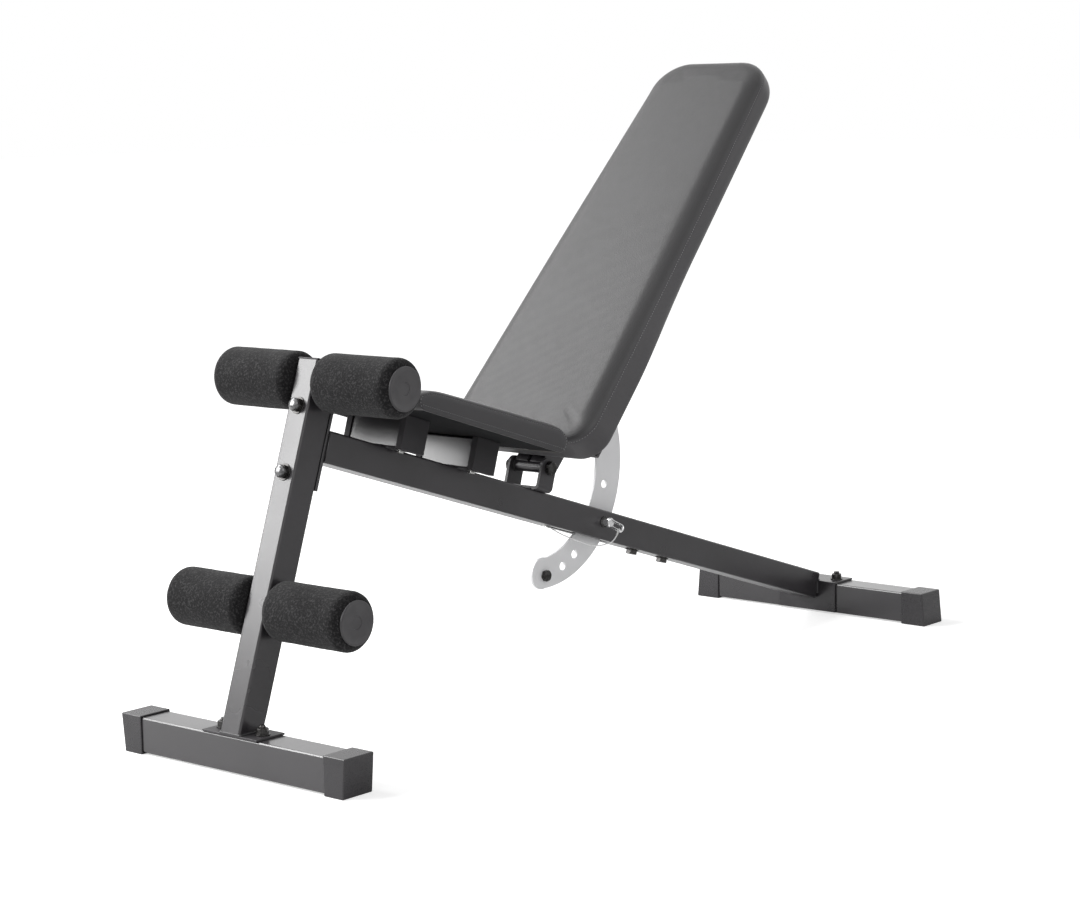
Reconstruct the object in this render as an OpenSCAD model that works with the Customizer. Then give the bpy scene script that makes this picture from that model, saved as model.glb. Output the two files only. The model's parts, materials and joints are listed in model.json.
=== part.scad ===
// Adjustable weight bench. A sloping main tube joins a leaning front post to the rear foot.
// It carries a fixed seat and a backrest that reclines on a hinge, and a pull pin locks the
// backrest through the holes of an arc plate. Foam rollers on the post hold the legs.
// +X runs from the front foot to the rear foot, +Z is up, and left is -Y.

/* [Feet] */
// Distance between the feet, centre to centre
foot_span = 1348; // [1340:1:1356]
// Side of the square foot tubes
foot_tube_side = 50; // [50:0.5:51]
// Length of the front foot over its caps
front_foot_len = 440; // [420:1:460]
// Length of the rear foot over its caps
rear_foot_len = 475; // [450:1:500]
// How far a foot cap stands proud of its tube
foot_cap_proud = 2.5; // [2.5:0.1:3]
// Length of a front foot cap along the foot
front_cap_len = 40; // [30:1:45]
// Length of a rear foot cap along the foot
rear_cap_len = 46; // [35:1:52]
// How much longer one edge of a foot cap is than the other
foot_cap_lean = 5; // [2:0.5:8]

/* [Front post] */
// Width of the post across the bench
post_w = 38; // [36:1:40]
// Depth of the post along the bench
post_d = 45; // [44:1:46]
// Lean of the post towards the rear, in degrees
post_tilt = 19.2; // [19:0.1:19.4]
// How far the post reaches past the upper roller tube's centre
post_over_roller = 26.7; // [25:0.1:30]
// Length of the base plate across the bench
base_plate_len = 107; // [100:1:120]
// Depth of the base plate along the foot tube's top
base_plate_w = 52; // [50:1:54]
// Thickness of the base plate
base_plate_t = 3; // [3:0.1:3.2]
// Distance between the two base plate bolts
base_bolt_gap = 76; // [72:1:80]
// Height of the upper roller tube up the post
upper_roller_up = 493.3; // [490:0.1:496]
// Height of the lower roller tube up the post
lower_roller_up = 176.8; // [170:0.1:190]
// Distance from the upper roller tube's centre down to the end plate's upper bolt
end_bolt_drop = 38.3; // [37:0.1:40]
// Distance between the two end plate bolts
end_bolt_gap = 93; // [91:1:95]
// How far the end plate reaches past each of its bolts
end_plate_margin = 15.5; // [14:0.5:17]

/* [Leg rollers] */
// Outer radius of the foam
foam_r = 41.5; // [38:0.5:44]
// Distance from the bench's middle to a foam roller's inner end
foam_inner_y = 24; // [23:0.5:28]
// Distance from the bench's middle to a foam roller's outer end
foam_outer_y = 168; // [150:1:175]
// Radius of the foam's rounded shoulders
foam_shoulder = 11; // [8:1:13]
// Radius of the tubes that carry the foam
roller_tube_r = 12.5; // [12:0.1:13]
// Radius of the plastic discs that close the roller tubes
end_disc_r = 30.6; // [28:0.1:31]

/* [Main tube] */
// Side of the square main tube
tube_side = 45; // [45:0.5:45.5]
// Wall of the square tubes
tube_wall = 2; // [1.8:0.1:2.2]
// Height of the rear tube's top line above the rear foot's centre
tube_rear_z = 61.88; // [61:0.01:63]
// Distance from the front foot's centre to the seat datum on the main tube
datum_from_front = 300; // [298:1:302]
// Height of the seat datum, which is on the main tube's top face
datum_z = 402.4; // [401:0.1:404]
// Distance down the tube from the datum to the joint with the rear tube
tube_joint_s = 677; // [672:1:690]

/* [Seat] */
// Place of the front cross tube down the main tube
cross_front_s = -15; // [-20:1:-10]
// Place of the rear cross tube down the main tube
cross_rear_s = 139; // [130:1:142]
// Length of a cross tube over its caps
cross_tube_len = 115; // [100:1:130]
// Front end of the seat pad down the main tube
seat_front_s = -107; // [-120:1:-95]
// Rear end of the seat pad down the main tube
seat_rear_s = 228; // [215:1:228]
// Width of the seat pad
seat_w = 280; // [260:2:290]
// Thickness of the seat pad with its board at the rear
seat_t = 38; // [36:0.5:42]
// How much thinner the seat pad is at the front
seat_drop = 7; // [4:0.5:9]

/* [Backrest] */
// Place of the hinge down the main tube
hinge_s = 308.5; // [308:0.1:309]
// Height of the hinge above the main tube's top face
hinge_n = 36; // [36:0.1:37]
// Angle of the backrest above level at rest, in degrees
back_angle = 46.5; // [46:0.1:47]
// Length of the back pad
back_len = 756; // [720:1:780]
// Width of the back pad at its lower end
back_w_low = 280; // [270:1:284]
// Width of the back pad at its top
back_w_top = 218; // [210:1:240]
// Thickness of the back pad with its board
back_t = 56; // [50:1:58]
// Width of each back rail
rail_w = 25; // [25:0.1:25.2]
// Depth of each back rail
rail_d = 38; // [36:1:38]
// Length of the back rails from the hinge
rail_len = 560; // [520:1:600]

/* [Angle lock] */
// Thickness of the arc plate
arc_t = 5; // [4.5:0.1:5]
// Radius of the arc plate's outer edge
arc_outer_r = 184; // [182:0.5:186]
// Radius of the arc plate's inner edge
arc_inner_r = 141.3; // [140:0.1:143]
// Distance from the hinge to the locking holes
lock_r = 174.5; // [171:0.1:177]
// Radius of the locking holes
lock_hole_r = 6.5; // [6.3:0.1:6.7]
// Radius of the locking pin
pin_r = 6; // [5.9:0.05:6.1]
// Travel of the pin from its rest into the arc plate
pin_travel_in = 8; // [7.5:0.5:9]
// Length of the pull loop out of the pin's head
loop_len = 30; // [28:1:36]

/* [Hidden] */
$fn = 64;

// Clearances
weld_gap = 0.05;     // between a piece and the hole that it is welded or pressed into
run_gap = 0.06;      // radial gap of a turning or sliding fit
foam_gap = 0.08;     // radial gap of the foam on its tube
end_gap = 0.3;       // axial gap beside a turning piece
bolt_gap = 0.3;      // radial gap round a bolt in a plain hole
cut = 1;             // how far a cutting shape passes the face that it cuts
far = 2000;          // side of a block that cuts away one half of space

// Feet
front_x = -foot_span / 2;
rear_x = foot_span / 2;
foot_top_z = foot_cap_proud + foot_tube_side;
foot_mid_z = foot_top_z - foot_tube_side / 2;
cap_side = foot_tube_side + 2 * foot_cap_proud;
cap_end_t = 4;

// Front post, in a frame with X into its depth and Z up its front face
base_top_z = foot_top_z + base_plate_t;
post_x = front_x - base_plate_w / 2;
post_len = upper_roller_up + post_over_roller;
post_cap_t = 3;
post_plug_len = 10;
end_plate_t = 5;
end_plate_w = 40;
end_bolt_high = upper_roller_up - end_bolt_drop;
end_bolt_low = end_bolt_high - end_bolt_gap;
end_bolt_past = 14;

// Bolts of the frame, and the plugs in the roller tubes
bolt_r = 5;
bolt_washer_t = 1.5;
foot_bolt_past = 4;
plug_t = 3;
plug_recess_r = 9;
plug_stem = 20;

// Main tube, in a frame with X down the tube from the datum and Z out of its top face
datum_x = front_x + datum_from_front;
tube_slope = atan((datum_z - tube_rear_z) / (rear_x - datum_x));
tube_front_s = -170; // before it is cut along the end plate
slot_w = 13;
top_slot = [434, 526];
low_slot = [370, 516];
sleeve_span = [566, 790];
joint_bolt_s = [584, 664];
joint_bolt_len = 18;

// Rear bracket
bracket_t = 3.5;
rear_tube_short = 22;  // how far the rear tube's top edge stops before the foot's centre
bracket_half_w = 58.5;
bracket_low_z = 3.5;
bracket_bolt_y = 43;
bracket_top_z = foot_top_z + bracket_t;
rear_face_x = rear_x - foot_tube_side / 2 - bracket_t;
rear_end_x = rear_x - 3;
rear_tube_len = (rear_x - datum_x) / cos(tube_slope) - rear_tube_short;

// Seat
cross_cap_proud = 2;
cross_cap_len = 11;
seat_low_n = tube_side + cross_cap_proud;
board_t = 12;
wrap_t = 2.5;
seat_corner_r = 18;
seat_bulge_r = 1500;
seat_round = [[0, 26, 3], [2, 17, 1.5], [7, 8, 0.5], [17, 0, 0]]; // depth, end cut, side cut
seat_foot = [9, 2];    // end cut and side cut at the underside
pad_slice = 0.2;       // thickness of the slices that a pad is drawn over
seat_screw_y = 34.5;
screw_r = 3;
screw_in_board = 10;

// Hinge
ear_t = 5;
ear_inner_y = 29.4;
ear_outer_y = ear_inner_y + ear_t;
ear_half_s = 16.5;
ear_top_n = hinge_n + 14;
ear_corner_r = 12;
bend_r = 8;
hinge_bolt_r = 6;
hinge_tube_r = 8.5;
hinge_washer_r = 10;

// Backrest, in a frame at the hinge with X up the backrest and Z towards the sitter
back_low = 8;
strap_t = 5;
strap_w = 30;
back_face = 73.7;
board_back = back_face - back_t;
rail_top = board_back - strap_t;
rail_low = rail_top - rail_d;
rail_out_y = arc_t / 2 + rail_w;
rail_wall = 1.5;
rail_from = 2;
rail_heel = -8;        // level of the cut at the rail's lower end
rail_cut_at = 14;      // where that cut meets the rail's rear face
rail_hollow_from = 24;
rail_cap_t = 2.5;
back_corner_r = 40;
back_head_r = 60;       // radius of the corners at the pad's top
back_edge_r = 22;      // rounding of the pad's edges
back_foot_cut = 2;     // how much the underside is drawn in at the pad's lower end
back_head_cut = 18;    // how much the underside is drawn in at the pad's top
low_strap_at = 18;
low_strap_half = 128;
up_strap_at = rail_len - 40;
up_strap_half = 92;
strap_screw_y = 75;

// Arc plate, in an upright frame at the hinge; its edges are circles off the hinge's axis
arc_outer_at = [25, -6.4];
arc_inner_at = [9.8, -3.3];
arc_end_angle = -84;
arc_lobe_at = [17.5, -166.5];
arc_lobe_r = 24.5;
pin_angle = -36;
hole_steps = [-32.5, -22, 0, 20, 46.5, 64.5]; // backrest tilts that the holes lock
stop_angle = -82.5;
stop_at_r = 172;
stop_r = 5;

// Locking pin, along Y through the main tube
pin_s = hinge_s + lock_r * cos(pin_angle + tube_slope);
pin_n = hinge_n + lock_r * sin(pin_angle + tube_slope);
pin_clear = 0.5;
guide_r = 9;
guide_proud = 1.5;
guide_inner_y = arc_t / 2 + 0.7;
guide_outer_y = tube_side / 2 + guide_proud;
pin_tip_y = -arc_t / 2 - pin_clear;
pin_tip_len = 1.5;
pin_head_y = -guide_outer_y - pin_travel_in - pin_clear;
pin_head_t = 4;
pin_head_r = 7.5;
loop_root_y = pin_head_y - 2;
loop_wire_r = 1.9;
loop_half = 4.5;
loop_droop = 17;

// Lanyard, a thin cord from the pull loop to an anchor under the main tube
lanyard_r = 1;
lanyard_sides = 8;
lanyard_steps = 3;
ferrule_at = -22;    // along the loop from its root
ferrule_r = 1.6;
ferrule_len = 6;
eye_r = 0.8;
anchor_s = 356;
anchor_y = -6;
anchor_n = -46.8;
anchor_barrel = [360, 368];
crimp_axis = [0, sin(loop_droop), -cos(loop_droop)];
crimp_start = -loop_half - loop_wire_r - eye_r;
crimp_end = crimp_start - ferrule_len;
cord_end = crimp_end - 0.15;
crimp_mouth = [
    pin_s,
    loop_root_y + ferrule_at * cos(loop_droop) - cord_end * sin(loop_droop),
    pin_n + ferrule_at * sin(loop_droop) + cord_end * cos(loop_droop)
];
lanyard_route = [
    [368.2, -6, -46.8], [376, -7, -48.5], [390, -10, -52], [409, -15, -55], [428, -20, -57],
    [446, -25, -58.5], [459, -32, -57], [466, -40, -53], [470, -48, -48], crimp_mouth
];

// A smooth curve through points: its first and last directions are given
function lerp3(a, b, c, d, t) =
    0.5 * ((2 * b) + (c - a) * t + (2 * a - 5 * b + 4 * c - d) * t * t
    + (3 * b - a - 3 * c + d) * t * t * t);
function with_leads(p, first, last) =
    let (n = len(p) - 1)
    concat([p[1] - 2 * norm(p[1] - p[0]) * first], p,
           [p[n - 1] + 2 * norm(p[n] - p[n - 1]) * last]);
function curve(p, first, last, steps) =
    let (q = with_leads(p, first, last), n = len(p) - 1)
    concat([for (i = [0:n - 1]) for (k = [0:steps - 1])
            lerp3(q[i], q[i + 1], q[i + 2], q[i + 3], k / steps)], [p[n]]);
function unit(v) = v / norm(v);

// A round cord swept along a path: rings of points, then the faces between them
module cord(path, r, sides, up) {
    n = len(path) - 1;
    rings = [for (i = [0:n])
        let (t = unit(path[min(i + 1, n)] - path[max(i - 1, 0)]),
             u = unit(cross(up, t)), v = cross(t, u))
        for (k = [0:sides - 1])
            path[i] + r * (cos(360 * k / sides) * u + sin(360 * k / sides) * v)];
    walls = [for (i = [0:n - 1]) for (k = [0:sides - 1])
        let (j = (k + 1) % sides)
        [i * sides + k, (i + 1) * sides + k, (i + 1) * sides + j, i * sides + j]];
    first_end = [for (k = [0:sides - 1]) k];
    last_end = [for (k = [sides - 1:-1:0]) n * sides + k];
    polyhedron(rings, concat(walls, [first_end, last_end]));
}

// Frames of the bench
module in_post_frame() {
    translate([post_x, 0, base_top_z]) rotate([0, post_tilt, 0]) children();
}

module in_tube_frame() {
    translate([datum_x, 0, datum_z]) rotate([0, tube_slope, 0]) children();
}

module at_hinge() {
    in_tube_frame() translate([hinge_s, 0, hinge_n]) rotate([0, -tube_slope, 0]) children();
}

module in_back_frame() {
    at_hinge() rotate([0, -back_angle, 0]) children();
}

module in_loop_frame() {
    in_tube_frame() translate([pin_s, loop_root_y, pin_n]) rotate([loop_droop, 0, 0]) children();
}

// Shapes that repeat
module along_x(length) {
    rotate([90, 0, 90]) linear_extrude(length) children();
}

module across_y(from, to) {
    translate([0, to, 0]) rotate([90, 0, 0]) linear_extrude(to - from) children();
}

module rod_y(from, to, r) {
    translate([0, from, 0]) rotate([-90, 0, 0]) cylinder(r = r, h = to - from);
}

module box(x, y, z) {
    translate([x[0], y[0], z[0]]) cube([x[1] - x[0], y[1] - y[0], z[1] - z[0]]);
}

module square_ring(w, h, wall) {
    difference() {
        square([w, h], center = true);
        square([w - 2 * wall, h - 2 * wall], center = true);
    }
}

module ring(outer_r, inner_r, height) {
    difference() {
        cylinder(r = outer_r, h = height);
        translate([0, 0, -cut]) cylinder(r = inner_r, h = height + 2 * cut);
    }
}

// A hex bolt along +Z, with its head below z = 0
module hex_bolt(r, length) {
    translate([0, 0, -1.25 * r]) cylinder(r = 1.85 * r, h = 1.25 * r, $fn = 6);
    cylinder(r = r, h = length);
}

module hex_nut(r) {
    difference() {
        cylinder(r = 1.85 * r, h = 1.6 * r, $fn = 6);
        translate([0, 0, -cut]) cylinder(r = r + weld_gap, h = 1.6 * r + 2 * cut);
    }
}

module washer(r, thickness) {
    ring(2.1 * r, r + bolt_gap, thickness);
}

// Feet
module foot_tube(length) {
    translate([-foot_tube_side / 2, 0, foot_mid_z]) rotate([0, 0, -90])
        translate([-length / 2, foot_tube_side / 2, 0]) along_x(length)
            square_ring(foot_tube_side, foot_tube_side, tube_wall);
}

// A cap on the +Y end of a foot: lean is how far its top edge passes its bottom edge
module foot_cap(tube_half, half_len, lean, cap_len) {
    outer = [
        [half_len - cap_len, 0],
        [half_len - max(lean, 0), 0],
        [half_len + min(lean, 0), cap_side],
        [half_len - cap_len, cap_side]
    ];
    difference() {
        translate([-cap_side / 2, 0, 0]) along_x(cap_side) polygon(outer);
        box([-foot_tube_side / 2, foot_tube_side / 2], [0, tube_half],
            [foot_cap_proud, foot_top_z]);
    }
}

front_tube_half = front_foot_len / 2 - foot_cap_lean - cap_end_t;
rear_tube_half = rear_foot_len / 2 - foot_cap_lean - cap_end_t;

module front_foot_tube() {
    color("dimgray") difference() {
        translate([front_x, 0, 0]) foot_tube(2 * front_tube_half);
        for (y = [-1, 1])
            translate([front_x, y * base_bolt_gap / 2, foot_mid_z])
                cylinder(r = bolt_r + bolt_gap, h = foot_tube_side);
    }
}

module front_foot_cap(side) {
    color("black") translate([front_x, 0, 0]) scale([1, side, 1])
        foot_cap(front_tube_half, front_foot_len / 2, foot_cap_lean, front_cap_len);
}

module rear_foot_cap(side) {
    color("black") translate([rear_x, 0, 0]) scale([1, side, 1])
        foot_cap(rear_tube_half, rear_foot_len / 2, -foot_cap_lean, rear_cap_len);
}

module rear_foot_tube() {
    color("dimgray") difference() {
        translate([rear_x, 0, 0]) foot_tube(2 * rear_tube_half);
        for (y = [-1, 1])
            translate([rear_x, y * bracket_bolt_y, foot_mid_z])
                cylinder(r = bolt_r + bolt_gap, h = foot_tube_side);
    }
}

// A bolt up through a foot tube's top wall, with its washer and its nut on top of the plate
module foot_bolt(seat_z) {
    head_z = foot_top_z - tube_wall;
    nut_z = seat_z + bolt_washer_t;
    translate([0, 0, head_z]) hex_bolt(bolt_r, nut_z + 1.6 * bolt_r + foot_bolt_past - head_z);
    translate([0, 0, seat_z]) washer(bolt_r, bolt_washer_t);
    translate([0, 0, nut_z]) hex_nut(bolt_r);
}

// Front post
module front_post() {
    color("dimgray") difference() {
        in_post_frame() difference() {
            translate([post_d / 2, 0, 0]) rotate([0, 0, 90]) linear_extrude(post_len)
                square_ring(post_w, post_d, tube_wall);
            for (up = [upper_roller_up, lower_roller_up])
                translate([post_d / 2, 0, up])
                    rod_y(-post_w, post_w, roller_tube_r + weld_gap);
            for (up = [end_bolt_low, end_bolt_high])
                translate([-cut, 0, up]) rotate([0, 90, 0])
                    cylinder(r = bolt_r + bolt_gap, h = post_d + 2 * cut);
        }
        translate([front_x - far / 2, -far / 2, base_top_z - far]) cube(far);
    }
}

module post_base_plate() {
    color("dimgray") difference() {
        box([post_x, post_x + base_plate_w], [-base_plate_len / 2, base_plate_len / 2],
            [foot_top_z, base_top_z]);
        for (y = [-1, 1])
            translate([front_x, y * base_bolt_gap / 2, foot_mid_z])
                cylinder(r = bolt_r + bolt_gap, h = foot_tube_side);
    }
}

module post_top_cap() {
    inner_d = post_d - 2 * tube_wall - 2 * weld_gap;
    inner_w = post_w - 2 * tube_wall - 2 * weld_gap;
    color("black") in_post_frame() translate([post_d / 2, 0, post_len]) {
        difference() {
            translate([-post_d / 2, -post_w / 2, 0]) cube([post_d, post_w, post_cap_t]);
            for (a = [0, 180]) rotate([0, 0, a]) translate([post_d / 2, 0, post_cap_t])
                rotate([0, 45, 0]) cube([2, 2 * post_w, 2], center = true);
        }
        translate([-inner_d / 2, -inner_w / 2, -post_plug_len])
            cube([inner_d, inner_w, post_plug_len]);
    }
}

module base_plate_bolts() {
    color("black") for (y = [-1, 1])
        translate([front_x, y * base_bolt_gap / 2, 0]) foot_bolt(base_top_z);
}

module front_end_plate() {
    color("dimgray") in_post_frame() difference() {
        box([post_d, post_d + end_plate_t], [-end_plate_w / 2, end_plate_w / 2],
            [end_bolt_low - end_plate_margin, end_bolt_high + end_plate_margin]);
        for (up = [end_bolt_low, end_bolt_high])
            translate([post_d - cut, 0, up]) rotate([0, 90, 0])
                cylinder(r = bolt_r + bolt_gap, h = end_plate_t + 2 * cut);
    }
}

// Two long bolts from the end plate's back through the post, with nuts on its front
module end_plate_bolts() {
    color("black") in_post_frame() for (up = [end_bolt_low, end_bolt_high]) {
        translate([post_d + end_plate_t + bolt_washer_t, 0, up]) rotate([0, -90, 0])
            hex_bolt(bolt_r, post_d + end_plate_t + end_bolt_past);
        translate([post_d + end_plate_t, 0, up]) rotate([0, 90, 0])
            washer(bolt_r, bolt_washer_t);
        translate([-bolt_washer_t, 0, up]) rotate([0, 90, 0]) washer(bolt_r, bolt_washer_t);
        translate([-bolt_washer_t, 0, up]) rotate([0, -90, 0]) hex_nut(bolt_r);
    }
}

// Leg rollers: side is -1 on the left and 1 on the right
module at_roller(up) {
    in_post_frame() translate([post_d / 2, 0, up]) children();
}

module roller_tube(up) {
    half = foam_outer_y + end_gap;
    color("dimgray") at_roller(up) difference() {
        rod_y(-half, half, roller_tube_r);
        rod_y(-half - cut, half + cut, roller_tube_r - tube_wall);
    }
}

// Discs with a short stem inside the tube and a shallow round recess outside
module end_plugs(up) {
    at_y = foam_outer_y + end_gap;
    color("gray") at_roller(up) for (side = [-1, 1]) scale([1, side, 1]) {
        difference() {
            rod_y(at_y, at_y + plug_t, end_disc_r);
            rod_y(at_y + plug_t - cut, at_y + plug_t + cut, plug_recess_r);
        }
        rod_y(at_y - plug_stem, at_y, roller_tube_r - tube_wall - weld_gap);
    }
}

module foam_roller(up, side) {
    length = foam_outer_y - foam_inner_y;
    mid_y = side * (foam_outer_y + foam_inner_y) / 2;
    shoulder_r = foam_r - foam_shoulder;
    shoulder_z = length / 2 - foam_shoulder;
    color("#2b2b2d") at_roller(up) translate([0, mid_y, 0]) rotate([90, 0, 0])
        rotate_extrude($fn = 96) difference() {
            union() {
                translate([0, -length / 2]) square([shoulder_r, length]);
                translate([0, -shoulder_z]) square([foam_r, 2 * shoulder_z]);
                for (z = [-shoulder_z, shoulder_z])
                    translate([shoulder_r, z]) circle(r = foam_shoulder);
            }
            translate([-foam_r, -length]) square([foam_r + roller_tube_r + foam_gap, 2 * length]);
        }
}

// Main tube and rear tube
module tube_length(from, to, side, wall) {
    translate([from, 0, -tube_side / 2]) along_x(to - from) square_ring(side, side, wall);
}

module slot(span, n) {
    linear_cut = [span[0] + slot_w / 2, span[1] - slot_w / 2];
    box(linear_cut, [-slot_w / 2, slot_w / 2], [n - 3 * tube_wall, n + 3 * tube_wall]);
    for (s = linear_cut)
        translate([s, 0, n - 3 * tube_wall]) cylinder(r = slot_w / 2, h = 6 * tube_wall);
}

module main_tube() {
    color("dimgray") difference() {
        in_tube_frame() difference() {
            tube_length(tube_front_s, tube_joint_s, tube_side, tube_wall);
            slot(top_slot, 0);
            slot(low_slot, -tube_side);
            translate([pin_s, 0, pin_n]) rod_y(-tube_side, tube_side, guide_r + weld_gap);
            for (s = joint_bolt_s)
                translate([s, 0, -1.5 * tube_side])
                    cylinder(r = bolt_r + bolt_gap, h = tube_side);
            translate([anchor_s, anchor_y, -1.5 * tube_side])
                cylinder(r = 1.5 + weld_gap, h = tube_side);
        }
        in_post_frame() translate([post_d + end_plate_t - far, -far / 2, -far / 2]) cube(far);
    }
}

// The rear tube's end is cut upright, and its top laps over the rear bracket
module rear_tube() {
    color("dimgray") difference() {
        in_tube_frame() tube_length(tube_joint_s, rear_tube_len, tube_side, tube_wall);
        box([rear_face_x, rear_face_x + far], [-far, far], [-far, bracket_top_z]);
        box([rear_end_x, rear_end_x + far], [-far, far], [-far, far]);
    }
}

module joint_sleeve() {
    side = tube_side - 2 * tube_wall - 2 * weld_gap;
    color("dimgray") in_tube_frame() difference() {
        tube_length(sleeve_span[0], sleeve_span[1], side, tube_wall);
        for (s = joint_bolt_s)
            translate([s, 0, -1.5 * tube_side])
                cylinder(r = bolt_r + bolt_gap, h = tube_side);
    }
}

// Bolts up through the underside into nuts inside the sleeve
module joint_bolts() {
    nut_n = -tube_side + 2 * tube_wall + weld_gap;
    color("black") in_tube_frame() for (s = joint_bolt_s) translate([s, 0, 0]) {
        translate([0, 0, -tube_side - bolt_washer_t]) hex_bolt(bolt_r, joint_bolt_len);
        translate([0, 0, -tube_side - bolt_washer_t]) washer(bolt_r, bolt_washer_t);
        translate([0, 0, nut_n]) hex_nut(bolt_r);
    }
}

module rear_bracket() {
    color("dimgray") difference() {
        union() {
            box([rear_face_x, rear_face_x + bracket_t], [-bracket_half_w, bracket_half_w],
                [bracket_low_z, bracket_top_z]);
            box([rear_face_x, rear_x + foot_tube_side / 2], [-bracket_half_w, bracket_half_w],
                [foot_top_z, bracket_top_z]);
        }
        for (y = [-1, 1])
            translate([rear_x, y * bracket_bolt_y, foot_mid_z])
                cylinder(r = bolt_r + bolt_gap, h = foot_tube_side);
    }
}

module rear_bracket_bolts() {
    color("black") for (y = [-1, 1])
        translate([rear_x, y * bracket_bolt_y, 0]) foot_bolt(bracket_top_z);
}

// Seat
module cross_tube(s) {
    half = cross_tube_len / 2 - cross_cap_proud;
    color("dimgray") in_tube_frame() translate([s, 0, tube_side / 2]) difference() {
        across_y(-half, half) square_ring(tube_side, tube_side, tube_wall);
        for (y = [-seat_screw_y, seat_screw_y])
            translate([0, y, -tube_side]) cylinder(r = screw_r + bolt_gap, h = 2 * tube_side);
    }
}

module cross_tube_caps() {
    outer = tube_side + 2 * cross_cap_proud;
    half = cross_tube_len / 2;
    color("black") in_tube_frame() for (s = [cross_front_s, cross_rear_s], side = [-1, 1])
        translate([s, 0, tube_side / 2]) scale([1, side, 1]) difference() {
            across_y(half - cross_cap_len, half) square(outer, center = true);
            across_y(0, half - cross_cap_proud) square(tube_side, center = true);
        }
}

// The seat's outline, with its ends and its sides drawn in; its rear edge bulges gently
module seat_outline(end_cut, side_cut) {
    side_y = seat_w / 2 - seat_corner_r;
    rear_bulge = seat_bulge_r - sqrt(pow(seat_bulge_r, 2) - pow(side_y, 2));
    hull() {
        for (y = [-side_y, side_y], s = [seat_front_s + seat_corner_r + end_cut,
                                         seat_rear_s - rear_bulge - seat_corner_r - end_cut])
            translate([s, y]) circle(r = seat_corner_r - side_cut, $fn = 32);
        for (k = [-3:3]) let (y = k * side_y / 4)
            translate([seat_rear_s - seat_bulge_r - end_cut - side_cut
                       + sqrt(pow(seat_bulge_r, 2) - y * y), y]) circle(r = pad_slice, $fn = 4);
    }
}

module seat_board() {
    color("burlywood") in_tube_frame() difference() {
        translate([0, 0, seat_low_n]) linear_extrude(board_t)
            seat_outline(seat_foot[0], seat_foot[1] + wrap_t);
        for (s = [cross_front_s, cross_rear_s], y = [-seat_screw_y, seat_screw_y])
            translate([s, y, seat_low_n - cut])
                cylinder(r = screw_r + weld_gap, h = screw_in_board + cut);
    }
}

// Foam and cover, wrapped round the edge of the board; the top slopes down to the front
module seat_pad() {
    slope = seat_drop / (seat_rear_s - seat_front_s);
    top_at_datum = seat_low_n + seat_t - slope * seat_rear_s;
    color("#38383b") in_tube_frame() difference() {
        hull() {
            translate([0, 0, seat_low_n]) linear_extrude(pad_slice)
                seat_outline(seat_foot[0], seat_foot[1]);
            for (edge = seat_round)
                multmatrix([[1, 0, 0, 0], [0, 1, 0, 0], [slope, 0, 1, top_at_datum - edge[0]]])
                    translate([0, 0, -pad_slice]) linear_extrude(pad_slice)
                        seat_outline(edge[1], edge[2]);
        }
        translate([0, 0, seat_low_n - cut]) linear_extrude(board_t + cut)
            seat_outline(seat_foot[0], seat_foot[1] + wrap_t);
    }
}

module seat_screws() {
    color("silver") in_tube_frame()
        for (s = [cross_front_s, cross_rear_s], y = [-seat_screw_y, seat_screw_y])
            translate([s, y, 0]) {
                translate([0, 0, -1]) hex_bolt(screw_r, seat_low_n + screw_in_board);
                translate([0, 0, -1]) washer(screw_r, 1);
            }
}

// Hinge: a bent U bracket on the main tube, and the bolt through its ears
module ear_outline() {
    low = -hinge_n;
    straight = ear_top_n - hinge_n - ear_corner_r;
    translate([-ear_half_s, low]) square([2 * ear_half_s, straight - low]);
    translate([-ear_half_s + ear_corner_r, low])
        square([2 * (ear_half_s - ear_corner_r), ear_top_n]);
    for (s = [-1, 1])
        translate([s * (ear_half_s - ear_corner_r), straight]) circle(r = ear_corner_r);
}

module bracket_section() {
    flat_y = ear_outer_y - bend_r;
    translate([-flat_y, 0]) square([2 * flat_y, ear_t]);
    for (side = [0, 1]) mirror([side, 0]) {
        translate([ear_inner_y, bend_r]) square([ear_t, ear_top_n]);
        translate([flat_y, bend_r]) intersection() {
            difference() {
                circle(r = bend_r);
                circle(r = bend_r - ear_t);
            }
            translate([0, -bend_r]) square(bend_r);
        }
    }
}

module hinge_bracket() {
    color("dimgray") in_tube_frame() translate([hinge_s, 0, 0]) difference() {
        intersection() {
            translate([-ear_half_s, 0, 0]) along_x(2 * ear_half_s) bracket_section();
            translate([0, 0, hinge_n]) across_y(-ear_outer_y, ear_outer_y) ear_outline();
        }
        translate([0, 0, hinge_n])
            rod_y(-ear_outer_y - cut, ear_outer_y + cut, hinge_bolt_r + run_gap);
    }
}

module hinge_bolt() {
    color("black") at_hinge() translate([0, -ear_outer_y, 0]) rotate([-90, 0, 0])
        hex_bolt(hinge_bolt_r, 2 * ear_outer_y + 14);
}

module hinge_nut() {
    color("black") at_hinge() translate([0, ear_outer_y, 0]) rotate([-90, 0, 0])
        hex_nut(hinge_bolt_r);
}

module hinge_washers() {
    color("whitesmoke") at_hinge() for (side = [-1, 1]) scale([1, side, 1])
        difference() {
            rod_y(rail_out_y + end_gap / 2, ear_inner_y, hinge_washer_r);
            rod_y(rail_out_y, ear_outer_y, hinge_bolt_r + run_gap);
        }
}

module hinge_tube() {
    color("dimgray") at_hinge() difference() {
        rod_y(-rail_out_y, rail_out_y, hinge_tube_r);
        rod_y(-rail_out_y - cut, rail_out_y + cut, hinge_bolt_r + run_gap);
    }
}

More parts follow.
